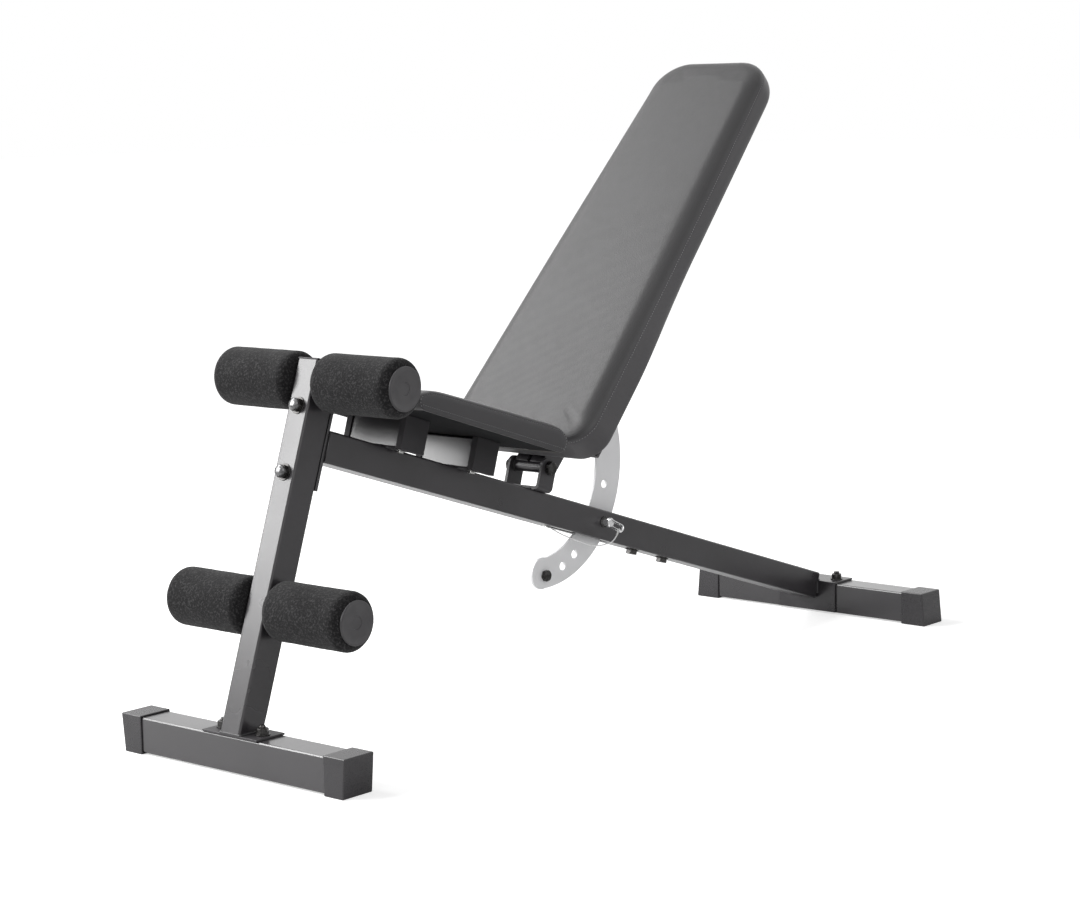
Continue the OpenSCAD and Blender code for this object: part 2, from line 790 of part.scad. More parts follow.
// Backrest
// A rail's lower end stands on the hinge tube, with its rear corner cut away
module back_rail(side) {
    inner_y = arc_t / 2;
    color("dimgray") in_back_frame() scale([1, side, 1]) difference() {
        across_y(inner_y, rail_out_y) polygon([
            [rail_from, rail_top], [rail_from, rail_heel], [rail_cut_at, rail_low],
            [rail_len, rail_low], [rail_len, rail_top]
        ]);
        box([rail_hollow_from, rail_len + cut],
            [inner_y + rail_wall, rail_out_y - rail_wall],
            [rail_low + rail_wall, rail_top - rail_wall]);
        rod_y(0, rail_out_y + cut, hinge_tube_r + weld_gap);
    }
}

module rail_end_caps() {
    gap = rail_wall + weld_gap;
    color("black") in_back_frame() for (side = [-1, 1]) scale([1, side, 1]) {
        box([rail_len, rail_len + rail_cap_t], [arc_t / 2, rail_out_y], [rail_low, rail_top]);
        box([rail_len - 12, rail_len], [arc_t / 2 + gap, rail_out_y - gap],
            [rail_low + gap, rail_top - gap]);
    }
}

module back_strap(at, half) {
    color("dimgray") in_back_frame() difference() {
        box([at, at + strap_w], [-half, half], [rail_top, board_back]);
        for (y = [-strap_screw_y, strap_screw_y])
            translate([at + strap_w / 2, y, rail_top - cut])
                cylinder(r = screw_r + bolt_gap, h = strap_t + 2 * cut);
    }
}

// The back pad's outline, drawn in at its lower end and at its top: it tapers to the top
module back_outline(low_cut, top_cut) {
    low_y = back_w_low / 2 - back_corner_r;
    top_y = back_w_top / 2 - back_head_r;
    hull() for (side = [-1, 1]) {
        translate([back_low + back_corner_r, side * low_y])
            circle(r = back_corner_r - low_cut, $fn = 32);
        translate([back_low + back_len - back_head_r, side * top_y])
            circle(r = back_head_r - top_cut, $fn = 32);
    }
}

module back_board() {
    color("burlywood") in_back_frame() difference() {
        translate([0, 0, board_back]) linear_extrude(board_t)
            back_outline(back_foot_cut + wrap_t, back_head_cut + wrap_t);
        for (at = [low_strap_at, up_strap_at], y = [-strap_screw_y, strap_screw_y])
            translate([at + strap_w / 2, y, board_back - cut])
                cylinder(r = screw_r + weld_gap, h = screw_in_board + cut);
    }
}

// Rounded all round its face, and round its underside more and more towards the top
module back_pad() {
    color("#38383b") in_back_frame() difference() {
        hull() for (angle = [0:30:90]) {
            narrow = 1 - sin(angle);
            depth = back_edge_r * (1 - cos(angle));
            translate([0, 0, back_face - depth - pad_slice]) linear_extrude(pad_slice)
                back_outline(narrow * back_edge_r, narrow * back_edge_r);
            translate([0, 0, board_back + depth]) linear_extrude(pad_slice)
                back_outline(narrow * back_foot_cut, narrow * back_head_cut);
        }
        translate([0, 0, board_back - cut]) linear_extrude(board_t + cut)
            back_outline(back_foot_cut + wrap_t, back_head_cut + wrap_t);
    }
}

module back_screws() {
    color("silver") in_back_frame()
        for (at = [low_strap_at, up_strap_at], y = [-strap_screw_y, strap_screw_y])
            translate([at + strap_w / 2, y, rail_top])
                hex_bolt(screw_r, strap_t + screw_in_board);
}

// Arc plate: the band between two circles, from a round lower end up between the rails
module arc_outline() {
    difference() {
        union() {
            intersection() {
                difference() {
                    translate(arc_outer_at) circle(r = arc_outer_r, $fn = 180);
                    translate(arc_inner_at) circle(r = arc_inner_r, $fn = 180);
                }
                rotate(arc_end_angle) translate([-far, 0]) square([2 * far, far]);
                rotate(back_angle) translate([-far, -far]) square([2 * far, far + rail_top]);
            }
            translate(arc_lobe_at) circle(r = arc_lobe_r);
        }
        for (step = hole_steps)
            rotate(pin_angle + step) translate([lock_r, 0]) circle(r = lock_hole_r);
        rotate(stop_angle) translate([stop_at_r, 0]) circle(r = stop_r + weld_gap);
    }
}

module arc_plate() {
    color("silver") at_hinge() across_y(-arc_t / 2, arc_t / 2) arc_outline();
}

// A bolt through the arc plate that meets the main tube when the backrest is upright
module stop_bolt() {
    color("black") at_hinge() rotate([0, -stop_angle, 0]) translate([stop_at_r, 0, 0]) {
        translate([0, -arc_t / 2, 0]) rotate([-90, 0, 0]) hex_bolt(stop_r, arc_t + 8);
        translate([0, arc_t / 2, 0]) rotate([-90, 0, 0]) hex_nut(stop_r);
    }
}

// Locking pin and its guides in the main tube's walls
module at_pin() {
    in_tube_frame() translate([pin_s, 0, pin_n]) children();
}

module pin_guides() {
    color("black") at_pin() for (side = [-1, 1]) scale([1, side, 1]) difference() {
        rod_y(guide_inner_y, guide_outer_y, guide_r);
        rod_y(0, guide_outer_y + cut, pin_r + run_gap);
    }
}

module lock_pin() {
    color("silver") difference() {
        at_pin() {
            rod_y(pin_head_y, pin_tip_y - pin_tip_len, pin_r);
            translate([0, pin_tip_y - pin_tip_len, 0]) rotate([-90, 0, 0])
                cylinder(r1 = pin_r, r2 = pin_r - pin_tip_len, h = pin_tip_len);
            rod_y(pin_head_y - pin_head_t, pin_head_y, pin_head_r);
        }
        in_loop_frame() for (z = [-loop_half, loop_half])
            translate([0, 0, z]) rod_y(-2 * pin_head_t, 0, loop_wire_r + weld_gap);
    }
}

// Two legs of wire out of the pin's head, joined by a round bend
module pull_loop() {
    bend_y = -(loop_len - loop_half - loop_wire_r);
    color("silver") in_loop_frame() {
        for (z = [-loop_half, loop_half])
            translate([0, 0, z]) rod_y(bend_y, 0, loop_wire_r, $fn = 32);
        translate([0, bend_y, 0]) rotate([0, 90, 0]) rotate([0, 0, 180])
            rotate_extrude(angle = 180, $fn = 64)
                translate([loop_half, 0]) circle(r = loop_wire_r, $fn = 32);
    }
}

// Lanyard: an eye and a crimped ferrule on the loop, the cord, and its anchor
module lanyard_ferrule() {
    color("silver") in_loop_frame() translate([0, ferrule_at, 0]) {
        translate([0, 0, -loop_half]) rotate([90, 0, 0]) rotate_extrude()
            translate([loop_wire_r + weld_gap + eye_r, 0]) circle(r = eye_r, $fn = 24);
        translate([0, 0, crimp_end]) cylinder(r = ferrule_r, h = ferrule_len);
    }
}

module lanyard() {
    color("silver") in_tube_frame()
        cord(curve(lanyard_route, [1, 0, 0], -crimp_axis, lanyard_steps),
             lanyard_r, lanyard_sides, [0, 0.6, 0.8]);
}

module lanyard_anchor() {
    head_n = -tube_side - 0.8;
    color("silver") in_tube_frame() {
        difference() {
            translate([anchor_s, anchor_y, head_n]) cylinder(r = 4, h = 0.8);
            translate([anchor_s, anchor_y, head_n - cut]) cylinder(r = 1.5 + weld_gap, h = 4);
        }
        translate([anchor_barrel[0], anchor_y, anchor_n]) rotate([0, 90, 0])
            cylinder(r = ferrule_r, h = anchor_barrel[1] - anchor_barrel[0]);
        translate([anchor_s, anchor_y, head_n - 1.2]) cylinder(r = 2.8, h = 1.2);
        translate([anchor_s, anchor_y, head_n]) cylinder(r = 1.5, h = 5);
    }
}

front_foot_tube();
front_foot_cap(-1);  // front_foot_cap_left
front_foot_cap(1);  // front_foot_cap_right
rear_foot_tube();
rear_foot_cap(-1);  // rear_foot_cap_left
rear_foot_cap(1);  // rear_foot_cap_right
front_post();
post_base_plate();
post_top_cap();
base_plate_bolts();
front_end_plate();
end_plate_bolts();
roller_tube(upper_roller_up);  // upper_roller_tube
roller_tube(lower_roller_up);  // lower_roller_tube
end_plugs(upper_roller_up);  // upper_end_plugs
end_plugs(lower_roller_up);  // lower_end_plugs
foam_roller(upper_roller_up, -1);  // upper_foam_left
foam_roller(upper_roller_up, 1);  // upper_foam_right
foam_roller(lower_roller_up, -1);  // lower_foam_left
foam_roller(lower_roller_up, 1);  // lower_foam_right
main_tube();
rear_tube();
joint_sleeve();
joint_bolts();
rear_bracket();
rear_bracket_bolts();
cross_tube(cross_front_s);  // front_cross_tube
cross_tube(cross_rear_s);  // rear_cross_tube
cross_tube_caps();
seat_board();
seat_pad();
seat_screws();
hinge_bracket();
hinge_bolt();
hinge_nut();
hinge_washers();
hinge_tube();
back_rail(-1);  // back_rail_left
back_rail(1);  // back_rail_right
rail_end_caps();
back_strap(low_strap_at, low_strap_half);  // lower_back_strap
back_strap(up_strap_at, up_strap_half);  // upper_back_strap
back_board();
back_pad();
back_screws();
arc_plate();
stop_bolt();
pin_guides();
lock_pin();
pull_loop();
lanyard_ferrule();
lanyard();
lanyard_anchor();
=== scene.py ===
# An adjustable weight bench: a sloping steel tube frame on two feet, a fixed seat, a backrest that
# reclines on a hinge behind the seat, and two pairs of foam leg rollers on the front post.
import json
import math

import bmesh
import bpy
from mathutils import Matrix, Vector, noise
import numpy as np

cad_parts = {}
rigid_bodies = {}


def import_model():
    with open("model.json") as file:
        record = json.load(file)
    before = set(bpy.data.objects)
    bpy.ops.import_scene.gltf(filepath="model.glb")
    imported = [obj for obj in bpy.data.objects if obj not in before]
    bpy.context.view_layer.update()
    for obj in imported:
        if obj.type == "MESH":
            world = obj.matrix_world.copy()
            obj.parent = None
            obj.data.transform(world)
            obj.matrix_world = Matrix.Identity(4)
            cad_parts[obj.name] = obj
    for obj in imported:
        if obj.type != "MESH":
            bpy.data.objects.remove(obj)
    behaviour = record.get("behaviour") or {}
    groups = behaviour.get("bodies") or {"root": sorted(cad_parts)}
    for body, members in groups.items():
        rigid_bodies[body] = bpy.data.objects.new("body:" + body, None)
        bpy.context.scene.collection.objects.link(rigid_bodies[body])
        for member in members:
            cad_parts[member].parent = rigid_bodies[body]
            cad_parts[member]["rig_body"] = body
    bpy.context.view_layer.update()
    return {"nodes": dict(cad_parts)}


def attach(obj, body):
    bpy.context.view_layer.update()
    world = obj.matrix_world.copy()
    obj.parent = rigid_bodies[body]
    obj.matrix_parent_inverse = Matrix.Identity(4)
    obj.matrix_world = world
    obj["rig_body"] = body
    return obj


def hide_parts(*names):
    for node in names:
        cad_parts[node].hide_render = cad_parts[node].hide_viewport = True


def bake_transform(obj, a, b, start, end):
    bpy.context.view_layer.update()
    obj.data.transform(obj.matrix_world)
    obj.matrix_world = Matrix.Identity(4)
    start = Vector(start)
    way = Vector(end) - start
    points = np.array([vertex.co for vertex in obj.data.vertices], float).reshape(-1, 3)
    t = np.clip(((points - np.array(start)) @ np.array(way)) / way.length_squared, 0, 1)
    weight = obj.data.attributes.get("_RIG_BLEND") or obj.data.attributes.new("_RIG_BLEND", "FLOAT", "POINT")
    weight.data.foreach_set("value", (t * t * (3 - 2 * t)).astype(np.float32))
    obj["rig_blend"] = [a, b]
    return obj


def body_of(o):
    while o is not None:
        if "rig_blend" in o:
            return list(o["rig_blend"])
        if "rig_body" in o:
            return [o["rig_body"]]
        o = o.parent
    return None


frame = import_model()


# ---- Camera ----
# A long lens at a sitter's eye height, in front of the bench and to its left, looking slightly
# down, with a small roll and a small shift.
def in_scene(name, data):
    """A new object with its data, linked into the scene."""
    thing = bpy.data.objects.new(name, data)
    bpy.context.collection.objects.link(thing)
    return thing


camera_data = bpy.data.cameras.new("camera")
camera_data.lens = 86.67
camera_data.sensor_width = 36.0
camera_data.shift_x, camera_data.shift_y = 0.0210, 0.0114
camera_data.clip_start, camera_data.clip_end = 0.1, 200.0
camera = in_scene("camera", camera_data)
yaw, pitch, roll = math.radians(41.44), math.radians(8.37), math.radians(-1.31)
ahead = Vector((math.cos(yaw) * math.cos(pitch), math.sin(yaw) * math.cos(pitch), -math.sin(pitch)))
level_right = ahead.cross(Vector((0, 0, 1))).normalized()
level_up = level_right.cross(ahead)
right = math.cos(roll) * level_right + math.sin(roll) * level_up
up = -math.sin(roll) * level_right + math.cos(roll) * level_up
camera.matrix_world = Matrix.Translation((-2.9915, -2.5505, 0.9058)) @ Matrix(
    (right, up, -ahead)).transposed().to_4x4()
bpy.context.scene.camera = camera

# ---- Lanyard ----
# A thin steel wire in clear plastic that keeps the locking pin with the bench. It leaves an eyelet
# under the main tube, hangs below it and ends in a ferrule on the pull loop.
TUBE_SLOPE = math.atan((402.4 - 61.88) / 1048)
TUBE = Matrix.Translation((-0.374, 0, 0.4024)) @ Matrix.Rotation(TUBE_SLOPE, 4, "Y")
HINGE_S, HINGE_N = 308.5, 36.0  # the hinge, down and above the main tube
PIN_REACH, PIN_DROP = 174.5, math.radians(-36)  # the locking pin, seen from the hinge
LOOP_ROOT_Y, LOOP_REACH = -34.5, 22.0  # the pull loop's root and its length
DROOP = math.radians(17)  # how far the loop hangs from level
CRIMP_DROP = 4.5 + 1.9 + 0.8 + 6.15  # from the loop's end to the ferrule's mouth
WIRE_R = 0.001


def on_tube(s, y, n):
    """A point s down the main tube and n above its top face, in millimetres."""
    return TUBE @ Vector((s / 1000, y / 1000, n / 1000))


def fed(tree, node, inputs):
    """Links each input that is given a socket, and sets each that is given a value."""
    for key, value in inputs.items():
        if isinstance(value, bpy.types.NodeSocket):
            tree.links.new(value, node.inputs[key])
        else:
            node.inputs[key].default_value = value
    return node


def add_node(tree, kind, inputs=None, **settings):
    """A new node with its settings and its inputs."""
    node = tree.nodes.new(kind)
    for key, value in settings.items():
        setattr(node, key, value)
    return fed(tree, node, inputs or {})


def calc(tree, operation, *values):
    """The result of one step of arithmetic on sockets or numbers."""
    return add_node(tree, "ShaderNodeMath", dict(enumerate(values)), operation=operation).outputs[0]


def new_material(name):
    """A new material, its node tree and the object's own coordinates in it, in metres."""
    mat = bpy.data.materials.new(name)
    mat.use_nodes = True
    return mat, mat.node_tree, add_node(mat.node_tree, "ShaderNodeTexCoord").outputs["Object"]


def shade(tree, inputs):
    """Links or sets inputs of a material's shader."""
    return fed(tree, tree.nodes["Principled BSDF"], inputs)


def add_noise(tree, place, scale, detail, roughness=0.5):
    """A noise of 0 to 1, so many waves to the metre."""
    return add_node(tree, "ShaderNodeTexNoise", {
        "Vector": place, "Scale": scale, "Detail": detail, "Roughness": roughness}).outputs["Fac"]


MIDDLE, CENTRE = (0.3, 0.7), (0.35, 0.65)  # parts of a noise's range that fill all of it


def spread(tree, value, part, to_low, to_high):
    """Maps a part of a value's range to to_low..to_high, with soft ends."""
    return add_node(tree, "ShaderNodeMapRange", {
        "Value": value, "From Min": part[0], "From Max": part[1], "To Min": to_low,
        "To Max": to_high}, interpolation_type="SMOOTHSTEP").outputs["Result"]


def two_tone(tree, factor, first, second):
    """A colour between first and second."""
    return add_node(tree, "ShaderNodeMix", {"Factor": factor, "A": (*first, 1), "B": (*second, 1)},
                    data_type="RGBA").outputs["Result"]


def bumped(tree, height, distance, strength, under=None):
    """The normal of a surface raised by a height of 0 to 1 times distance, in metres."""
    inputs = {"Height": height, "Distance": distance, "Strength": strength}
    if under is not None:
        inputs["Normal"] = under
    return add_node(tree, "ShaderNodeBump", inputs).outputs["Normal"]


def surface(name, noises, tone, rough, relief=None, part=None, stretch=None, more=None):
    """A material that follows its named noises, each with a scale, a detail and a roughness. tone
    is a noise and two colours, spread over a part of its range. rough is a number, or a noise and
    two numbers. relief is a noise, a height and a strength. more holds other shader inputs."""
    mat, tree, place = new_material(name)
    if stretch:
        place = add_node(tree, "ShaderNodeMapping", {"Vector": place, "Scale": stretch}).outputs[0]
    fields = {key: add_noise(tree, place, *values) for key, values in noises.items()}
    factor = fields[tone[0]]
    if part:
        factor = spread(tree, factor, part, 0, 1)
    inputs = {"Base Color": two_tone(tree, factor, *tone[1:]), "Roughness": rough}
    if isinstance(rough, tuple):
        inputs["Roughness"] = spread(tree, fields[rough[0]], MIDDLE, *rough[1:])
    if relief:
        inputs["Normal"] = bumped(tree, fields[relief[0]], *relief[1:])
    shade(tree, inputs | (more or {}))
    return mat


def curve_through(points, first, last, steps):
    """A smooth line through points, leaving along first and arriving along last."""
    lead = [points[1] - 2 * (points[1] - points[0]).length * first]
    tail = [points[-2] + 2 * (points[-1] - points[-2]).length * last]
    stops = lead + points + tail
    line = []
    for i in range(len(points) - 1):
        a, b, c, d = stops[i:i + 4]
        for k in range(steps):
            t = k / steps
            line.append(0.5 * (2 * b + (c - a) * t + (2 * a - 5 * b + 4 * c - d) * t * t
                               + (3 * b - a - 3 * c + d) * t ** 3))
    return line + [points[-1]]


def poly_curve(name, line, closed=False):
    """A curve object that runs straight from point to point."""
    curve = bpy.data.curves.new(name, "CURVE")
    curve.dimensions = "3D"
    run = curve.splines.new("POLY")
    run.points.add(len(line) - 1)
    for stop, place in zip(run.points, line):
        stop.co = (*place, 1)
    run.use_cyclic_u = closed
    return in_scene(name, curve)


def new_piece(name, mesh, mat=None):
    """Puts a finished mesh in the scene as a piece, with its material."""
    if mat:
        mesh.materials.clear()
        mesh.materials.append(mat)
    return in_scene(name, mesh)


def made_real(source):
    """The plain mesh that an object's modifiers or its curve give. The object itself goes."""
    graph = bpy.context.evaluated_depsgraph_get()
    mesh = bpy.data.meshes.new_from_object(source.evaluated_get(graph))
    bpy.data.objects.remove(source)
    return mesh


WIRE = surface("coated_wire", {"strands": (900, 2)},
               ("strands", (0.74, 0.74, 0.75), (0.9, 0.9, 0.9)), 0.32, ("strands", 0.0001, 0.5),
               part=CENTRE, more={"Metallic": 0.2})
pin_angle = PIN_DROP + TUBE_SLOPE
crimp_axis = Vector((0, math.sin(DROOP), -math.cos(DROOP)))
crimp_mouth = Vector((
    HINGE_S + PIN_REACH * math.cos(pin_angle),
    LOOP_ROOT_Y - LOOP_REACH * math.cos(DROOP) + CRIMP_DROP * math.sin(DROOP),
    HINGE_N + PIN_REACH * math.sin(pin_angle) - LOOP_REACH * math.sin(DROOP)
    - CRIMP_DROP * math.cos(DROOP)))
lanyard_stops = [Vector(p) for p in (
    (368.2, -6, -46.8), (376, -7, -48.5), (390, -10, -52), (409, -15, -55), (428, -20, -57),
    (446, -25, -58.5), (459, -32, -57), (466, -40, -53), (470, -48, -48))] + [crimp_mouth]
lanyard_line = [TUBE @ (p / 1000) for p in
                curve_through(lanyard_stops, Vector((1, 0, 0)), -crimp_axis, 3)]
lanyard_route = poly_curve("lanyard_route", lanyard_line)
lanyard_route.data.bevel_depth = WIRE_R
lanyard_route.data.bevel_resolution = 4
lanyard_route.data.use_fill_caps = True
lanyard_mesh = made_real(lanyard_route)
lanyard_mesh.shade_smooth()
lanyard = new_piece("lanyard_wire", lanyard_mesh, WIRE)
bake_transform(lanyard, "frame_body", "lock_pin_body", lanyard_line[3], lanyard_line[-1])
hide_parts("lanyard")


def finish_node(node, mat):
    """A carried-over part keeps its shape and gets its finish."""
    part = frame["nodes"][node]
    part.data.materials.clear()
    part.data.materials.append(mat)


# ---- Studio ----
# A white floor and a white room behind it. A large soft lamp in front of the bench gives its
# upright front faces their shine, one overhead lights the pads, and the room fills the rest.
WHITE = (1, 1, 1, 1)
ROOM_LIGHT, BACKDROP_LIGHT = 0.38, 1.0
FLOOR_REACH = 30.0  # half the floor's width
studio = bpy.data.worlds.new("studio")
bpy.context.scene.world = studio
studio.use_nodes = True
tree = studio.node_tree
tree.nodes.clear()
rays = add_node(tree, "ShaderNodeLightPath").outputs
seen = calc(tree, "MAXIMUM", calc(tree, "MAXIMUM", rays["Is Camera Ray"], rays["Is Glossy Ray"]),
            rays["Is Transmission Ray"])
room, backdrop = [add_node(tree, "ShaderNodeBackground", {"Color": WHITE, "Strength": light})
                  for light in (ROOM_LIGHT, BACKDROP_LIGHT)]
choice = add_node(tree, "ShaderNodeMixShader", {
    "Fac": seen, 1: room.outputs[0], 2: backdrop.outputs[0]})
add_node(tree, "ShaderNodeOutputWorld", {"Surface": choice.outputs[0]})


def softbox(name, place, aim, width, height, power):
    """A flat soft lamp at place that points at aim."""
    lamp = bpy.data.lights.new(name, "AREA")
    lamp.shape = "RECTANGLE"
    lamp.size, lamp.size_y = width, height
    lamp.energy = power
    holder = in_scene(name, lamp)
    holder.location = place
    holder.rotation_euler = (Vector(aim) - Vector(place)).to_track_quat("-Z", "Y").to_euler()


softbox("front_lamp", (-2.7, 2.0, 1.75), (-0.3, 0, 0.5), 1.9, 1.5, 95)
softbox("overhead_lamp", (-0.75, 2.1, 2.7), (-0.1, 0, 0.4), 1.7, 1.5, 70)
softbox("side_lamp", (-1.2, -3.4, 2.2), (0, 0, 0.4), 2.0, 1.6, 30)

# The floor glows a little to the camera alone, more so away from the bench.
floor_mesh = bpy.data.meshes.new("floor")
floor_mesh.from_pydata([(x * FLOOR_REACH, y * FLOOR_REACH, 0) for x, y in (
    (-1, -1), (1, -1), (1, 1), (-1, 1))], [], [(0, 1, 2, 3)])
floor_mat, tree, place = new_material("studio_floor")
floor_shader = shade(tree, {"Base Color": (0.8, 0.8, 0.8, 1), "Roughness": 0.9,
                            "Specular IOR Level": 0.1})
rays = add_node(tree, "ShaderNodeLightPath").outputs
seen = calc(tree, "MAXIMUM", rays["Is Camera Ray"], rays["Is Transmission Ray"])
outwards = add_node(tree, "ShaderNodeVectorMath", {0: place}, operation="LENGTH").outputs["Value"]
glow = add_node(tree, "ShaderNodeEmission", {
    "Color": WHITE, "Strength": spread(tree, outwards, (0.9, 2.2), 0.56, 0.76)})
lit = add_node(tree, "ShaderNodeAddShader", {0: floor_shader.outputs[0], 1: glow.outputs[0]})
floor_mix = add_node(tree, "ShaderNodeMixShader", {
    "Fac": seen, 1: floor_shader.outputs[0], 2: lit.outputs[0]})
fed(tree, tree.nodes["Material Output"], {"Surface": floor_mix.outputs[0]})
floor = new_piece("floor", floor_mesh, floor_mat)


# ---- Feet ----
# Two square steel tubes lie across the bench on the floor, in satin black powder coat with a faint
# orange peel. Moulded plastic caps with leaning end faces are pushed over their ends.
def powder_coat(name, smooth, worn, gloss):
    """Satin black powder coat with a faint orange peel, its roughness from smooth to worn."""
    mat, tree, place = new_material(name)
    cloud = add_noise(tree, place, 7, 3)
    peel = add_noise(tree, place, 420, 3, 0.6)
    fleck = add_noise(tree, place, 1900, 1)
    relief = calc(tree, "ADD", peel, spread(tree, fleck, MIDDLE, 0, 0.3))
    shade(tree, {
        "Base Color": two_tone(tree, spread(tree, cloud, MIDDLE, 0, 1),
                               (0.0255, 0.0235, 0.0260), (0.0335, 0.0310, 0.0345)),
        "Roughness": spread(tree, cloud, MIDDLE, smooth, worn), "Specular IOR Level": 0.5,
        "Coat Weight": gloss, "Coat Roughness": 0.2,
        "Normal": bumped(tree, relief, 0.00006, 0.5)})
    return mat


def black_plastic(name, smooth, worn, gloss):
    """Moulded black plastic with a fine grain, its roughness from smooth to worn."""
    return surface(name, {"grain": (1300, 3, 0.65), "cloud": (14, 3)},
                   ("cloud", (0.030, 0.0285, 0.031), (0.037, 0.035, 0.038)),
                   ("grain", smooth, worn), ("grain", 0.00012, 0.6), part=CENTRE,
                   more={"Specular IOR Level": gloss})


COAT = powder_coat("powder_coat", 0.27, 0.33, 0.28)
FOOT_COAT = powder_coat("foot_coat", 0.27, 0.33, 0.85)
PLASTIC = black_plastic("black_plastic", 0.24, 0.32, 0.55)
MATT_PLASTIC = black_plastic("matt_plastic", 0.55, 0.65, 0.3)


def meshed(shell, name, crease=None):
    """A smooth mesh from a bmesh, with edges over crease degrees kept sharp."""
    mesh = bpy.data.meshes.new(name)
    shell.to_mesh(mesh)
    shell.free()
    mesh.shade_smooth()
    if crease is not None:
        mesh.set_sharp_from_angle(angle=math.radians(crease))
    return mesh


def stand_in(piece, node):
    """A piece takes the place of a CAD node, on its body."""
    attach(piece, body_of(frame["nodes"][node])[0])
    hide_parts(node)
    return piece


def rounded(node, name, width, mat, shortest=0.0, segments=3):
    """A part's mesh with its outer edges rounded by width, in place of its CAD node."""
    shell = bmesh.new()
    shell.from_mesh(frame["nodes"][node].data)
    bmesh.ops.remove_doubles(shell, verts=shell.verts, dist=1e-5)
    bmesh.ops.dissolve_limit(shell, angle_limit=math.radians(0.6), verts=shell.verts,
                             edges=shell.edges)
    sharp = [e for e in shell.edges if len(e.link_faces) == 2 and e.is_convex
             and e.calc_face_angle(0) > math.radians(33) and e.calc_length() > shortest]
    bmesh.ops.bevel(shell, geom=sharp, offset=width, offset_type="OFFSET", segments=segments,
                    profile=0.5, affect="EDGES", clamp_overlap=shortest == 0)
    whole = new_piece(name + "_plain", meshed(shell, name, 38), mat)
    even = whole.modifiers.new("even", "WEIGHTED_NORMAL")
    even.keep_sharp = True
    even.weight = 100
    stand_in(new_piece(name, made_real(whole), mat), node)


for end in ("front", "rear"):
    rounded(f"{end}_foot_tube", f"{end}_foot_tube_steel", 0.0028, FOOT_COAT, 0.1)
for cap in ("front_foot_cap_left", "front_foot_cap_right", "rear_foot_cap_left",
            "rear_foot_cap_right"):
    rounded(cap, cap + "_moulding", 0.0016, PLASTIC, 0.02)


# ---- Front post ----
# A square tube welded to a base plate that two hex bolts hold on the front foot. It leans back, and
# a moulded cap closes its top. Its end plate takes the main tube, held by two long bolts.
POST_LEAN = math.radians(19.2)
POST = Matrix.Translation((-0.700, 0, 0.0555)) @ Matrix.Rotation(POST_LEAN, 4, "Y")
END_PLATE_BOLTS = (362.0, 455.0)  # up the post
FOOT_X, FOOT_WALL_Z = 0.674, 0.0505  # the feet, and the inside of their top walls
FLIPPED = Matrix.Rotation(math.pi, 4, "X")
HERE = Matrix.Identity(4)


def on_post(depth, y, up):
    """A point on the post: depth from its front face and up along it, in millimetres."""
    return POST @ Vector((depth / 1000, y / 1000, up / 1000))


def set_at(point, base):
    """A place at a point of the bench, turned as one of its parts is."""
    return Matrix.Translation(point) @ base.to_3x3().to_4x4()


def lifted(z):
    """A place z above a part's own origin."""
    return Matrix.Translation((0, 0, z))


DULL_COAT = powder_coat("dull_coat", 0.46, 0.52, 0.1)
rounded("front_post", "post_steel", 0.0028, COAT, 0.1)
rounded("post_base_plate", "base_plate_steel", 0.0005, DULL_COAT, 0.02)
rounded("front_end_plate", "end_plate_steel", 0.0007, COAT, 0.02)
rounded("post_top_cap", "post_cap_moulding", 0.0009, MATT_PLASTIC, 0.015)


def oxide_finish(name, dark, light):
    """Oiled steel with a mottled oxide skin."""
    return surface(name, {"cloud": (160, 4)}, ("cloud", dark, light),
                   ("cloud", 0.20, 0.32), ("cloud", 0.00005, 0.4), part=CENTRE,
                   more={"Metallic": 0.75})


OXIDE = oxide_finish("black_oxide", (0.030, 0.029, 0.028), (0.065, 0.063, 0.062))
WORN_STEEL = oxide_finish("worn_steel", (0.12, 0.12, 0.123), (0.20, 0.20, 0.203))


def ring_skin(name, rings, crease=None, around=False, capped=False):
    """A smooth skin over rings of points and tips of one point. around joins the last ring to the
    first, and capped closes both with a flat face."""
    shell = bmesh.new()
    rows = [[shell.verts.new(p) for p in points] for points in rings]
    if around:
        rows.append(rows[0])
    count = max(len(row) for row in rows)
    for low, high in zip(rows, rows[1:]):
        for k in range(count):
            j = (k + 1) % count
            corners = (low[k % len(low)], low[j % len(low)], high[j % len(high)],
                       high[k % len(high)])
            shell.faces.new(list(dict.fromkeys(corners)))
    if capped:
        shell.faces.new(rows[-1])
        shell.faces.new(rows[0][::-1])
    bmesh.ops.recalc_face_normals(shell, faces=shell.faces)
    return meshed(shell, name, crease)


def hoop(r, z, sides, start=0.0):
    """Points round Z at a radius, which may depend on the turn, or the one point of a tip."""
    if r == 0:
        return [(0, 0, z)]
    turns = [2 * math.pi * (k + start) / sides for k in range(sides)]
    reach = r if callable(r) else lambda turn: r
    return [(reach(t) * math.cos(t), reach(t) * math.sin(t), z) for t in turns]


def turned(profile, sides, name):
    """A closed solid of revolution about Z from (radius, z) points, lowest first."""
    return ring_skin(name, [hoop(r, z, sides) for r, z in profile], 35)


def washer(inner, outer, thick, edge, sides=48):
    """A flat washer from z = 0 up, its outer corners rounded by edge = (inwards, along)."""
    inwards, along = edge
    return turned([(inner, 0), (outer - inwards, 0), (outer, along), (outer, thick - along),
                   (outer - inwards, thick), (inner, thick), (inner, 0)], sides, "washer")


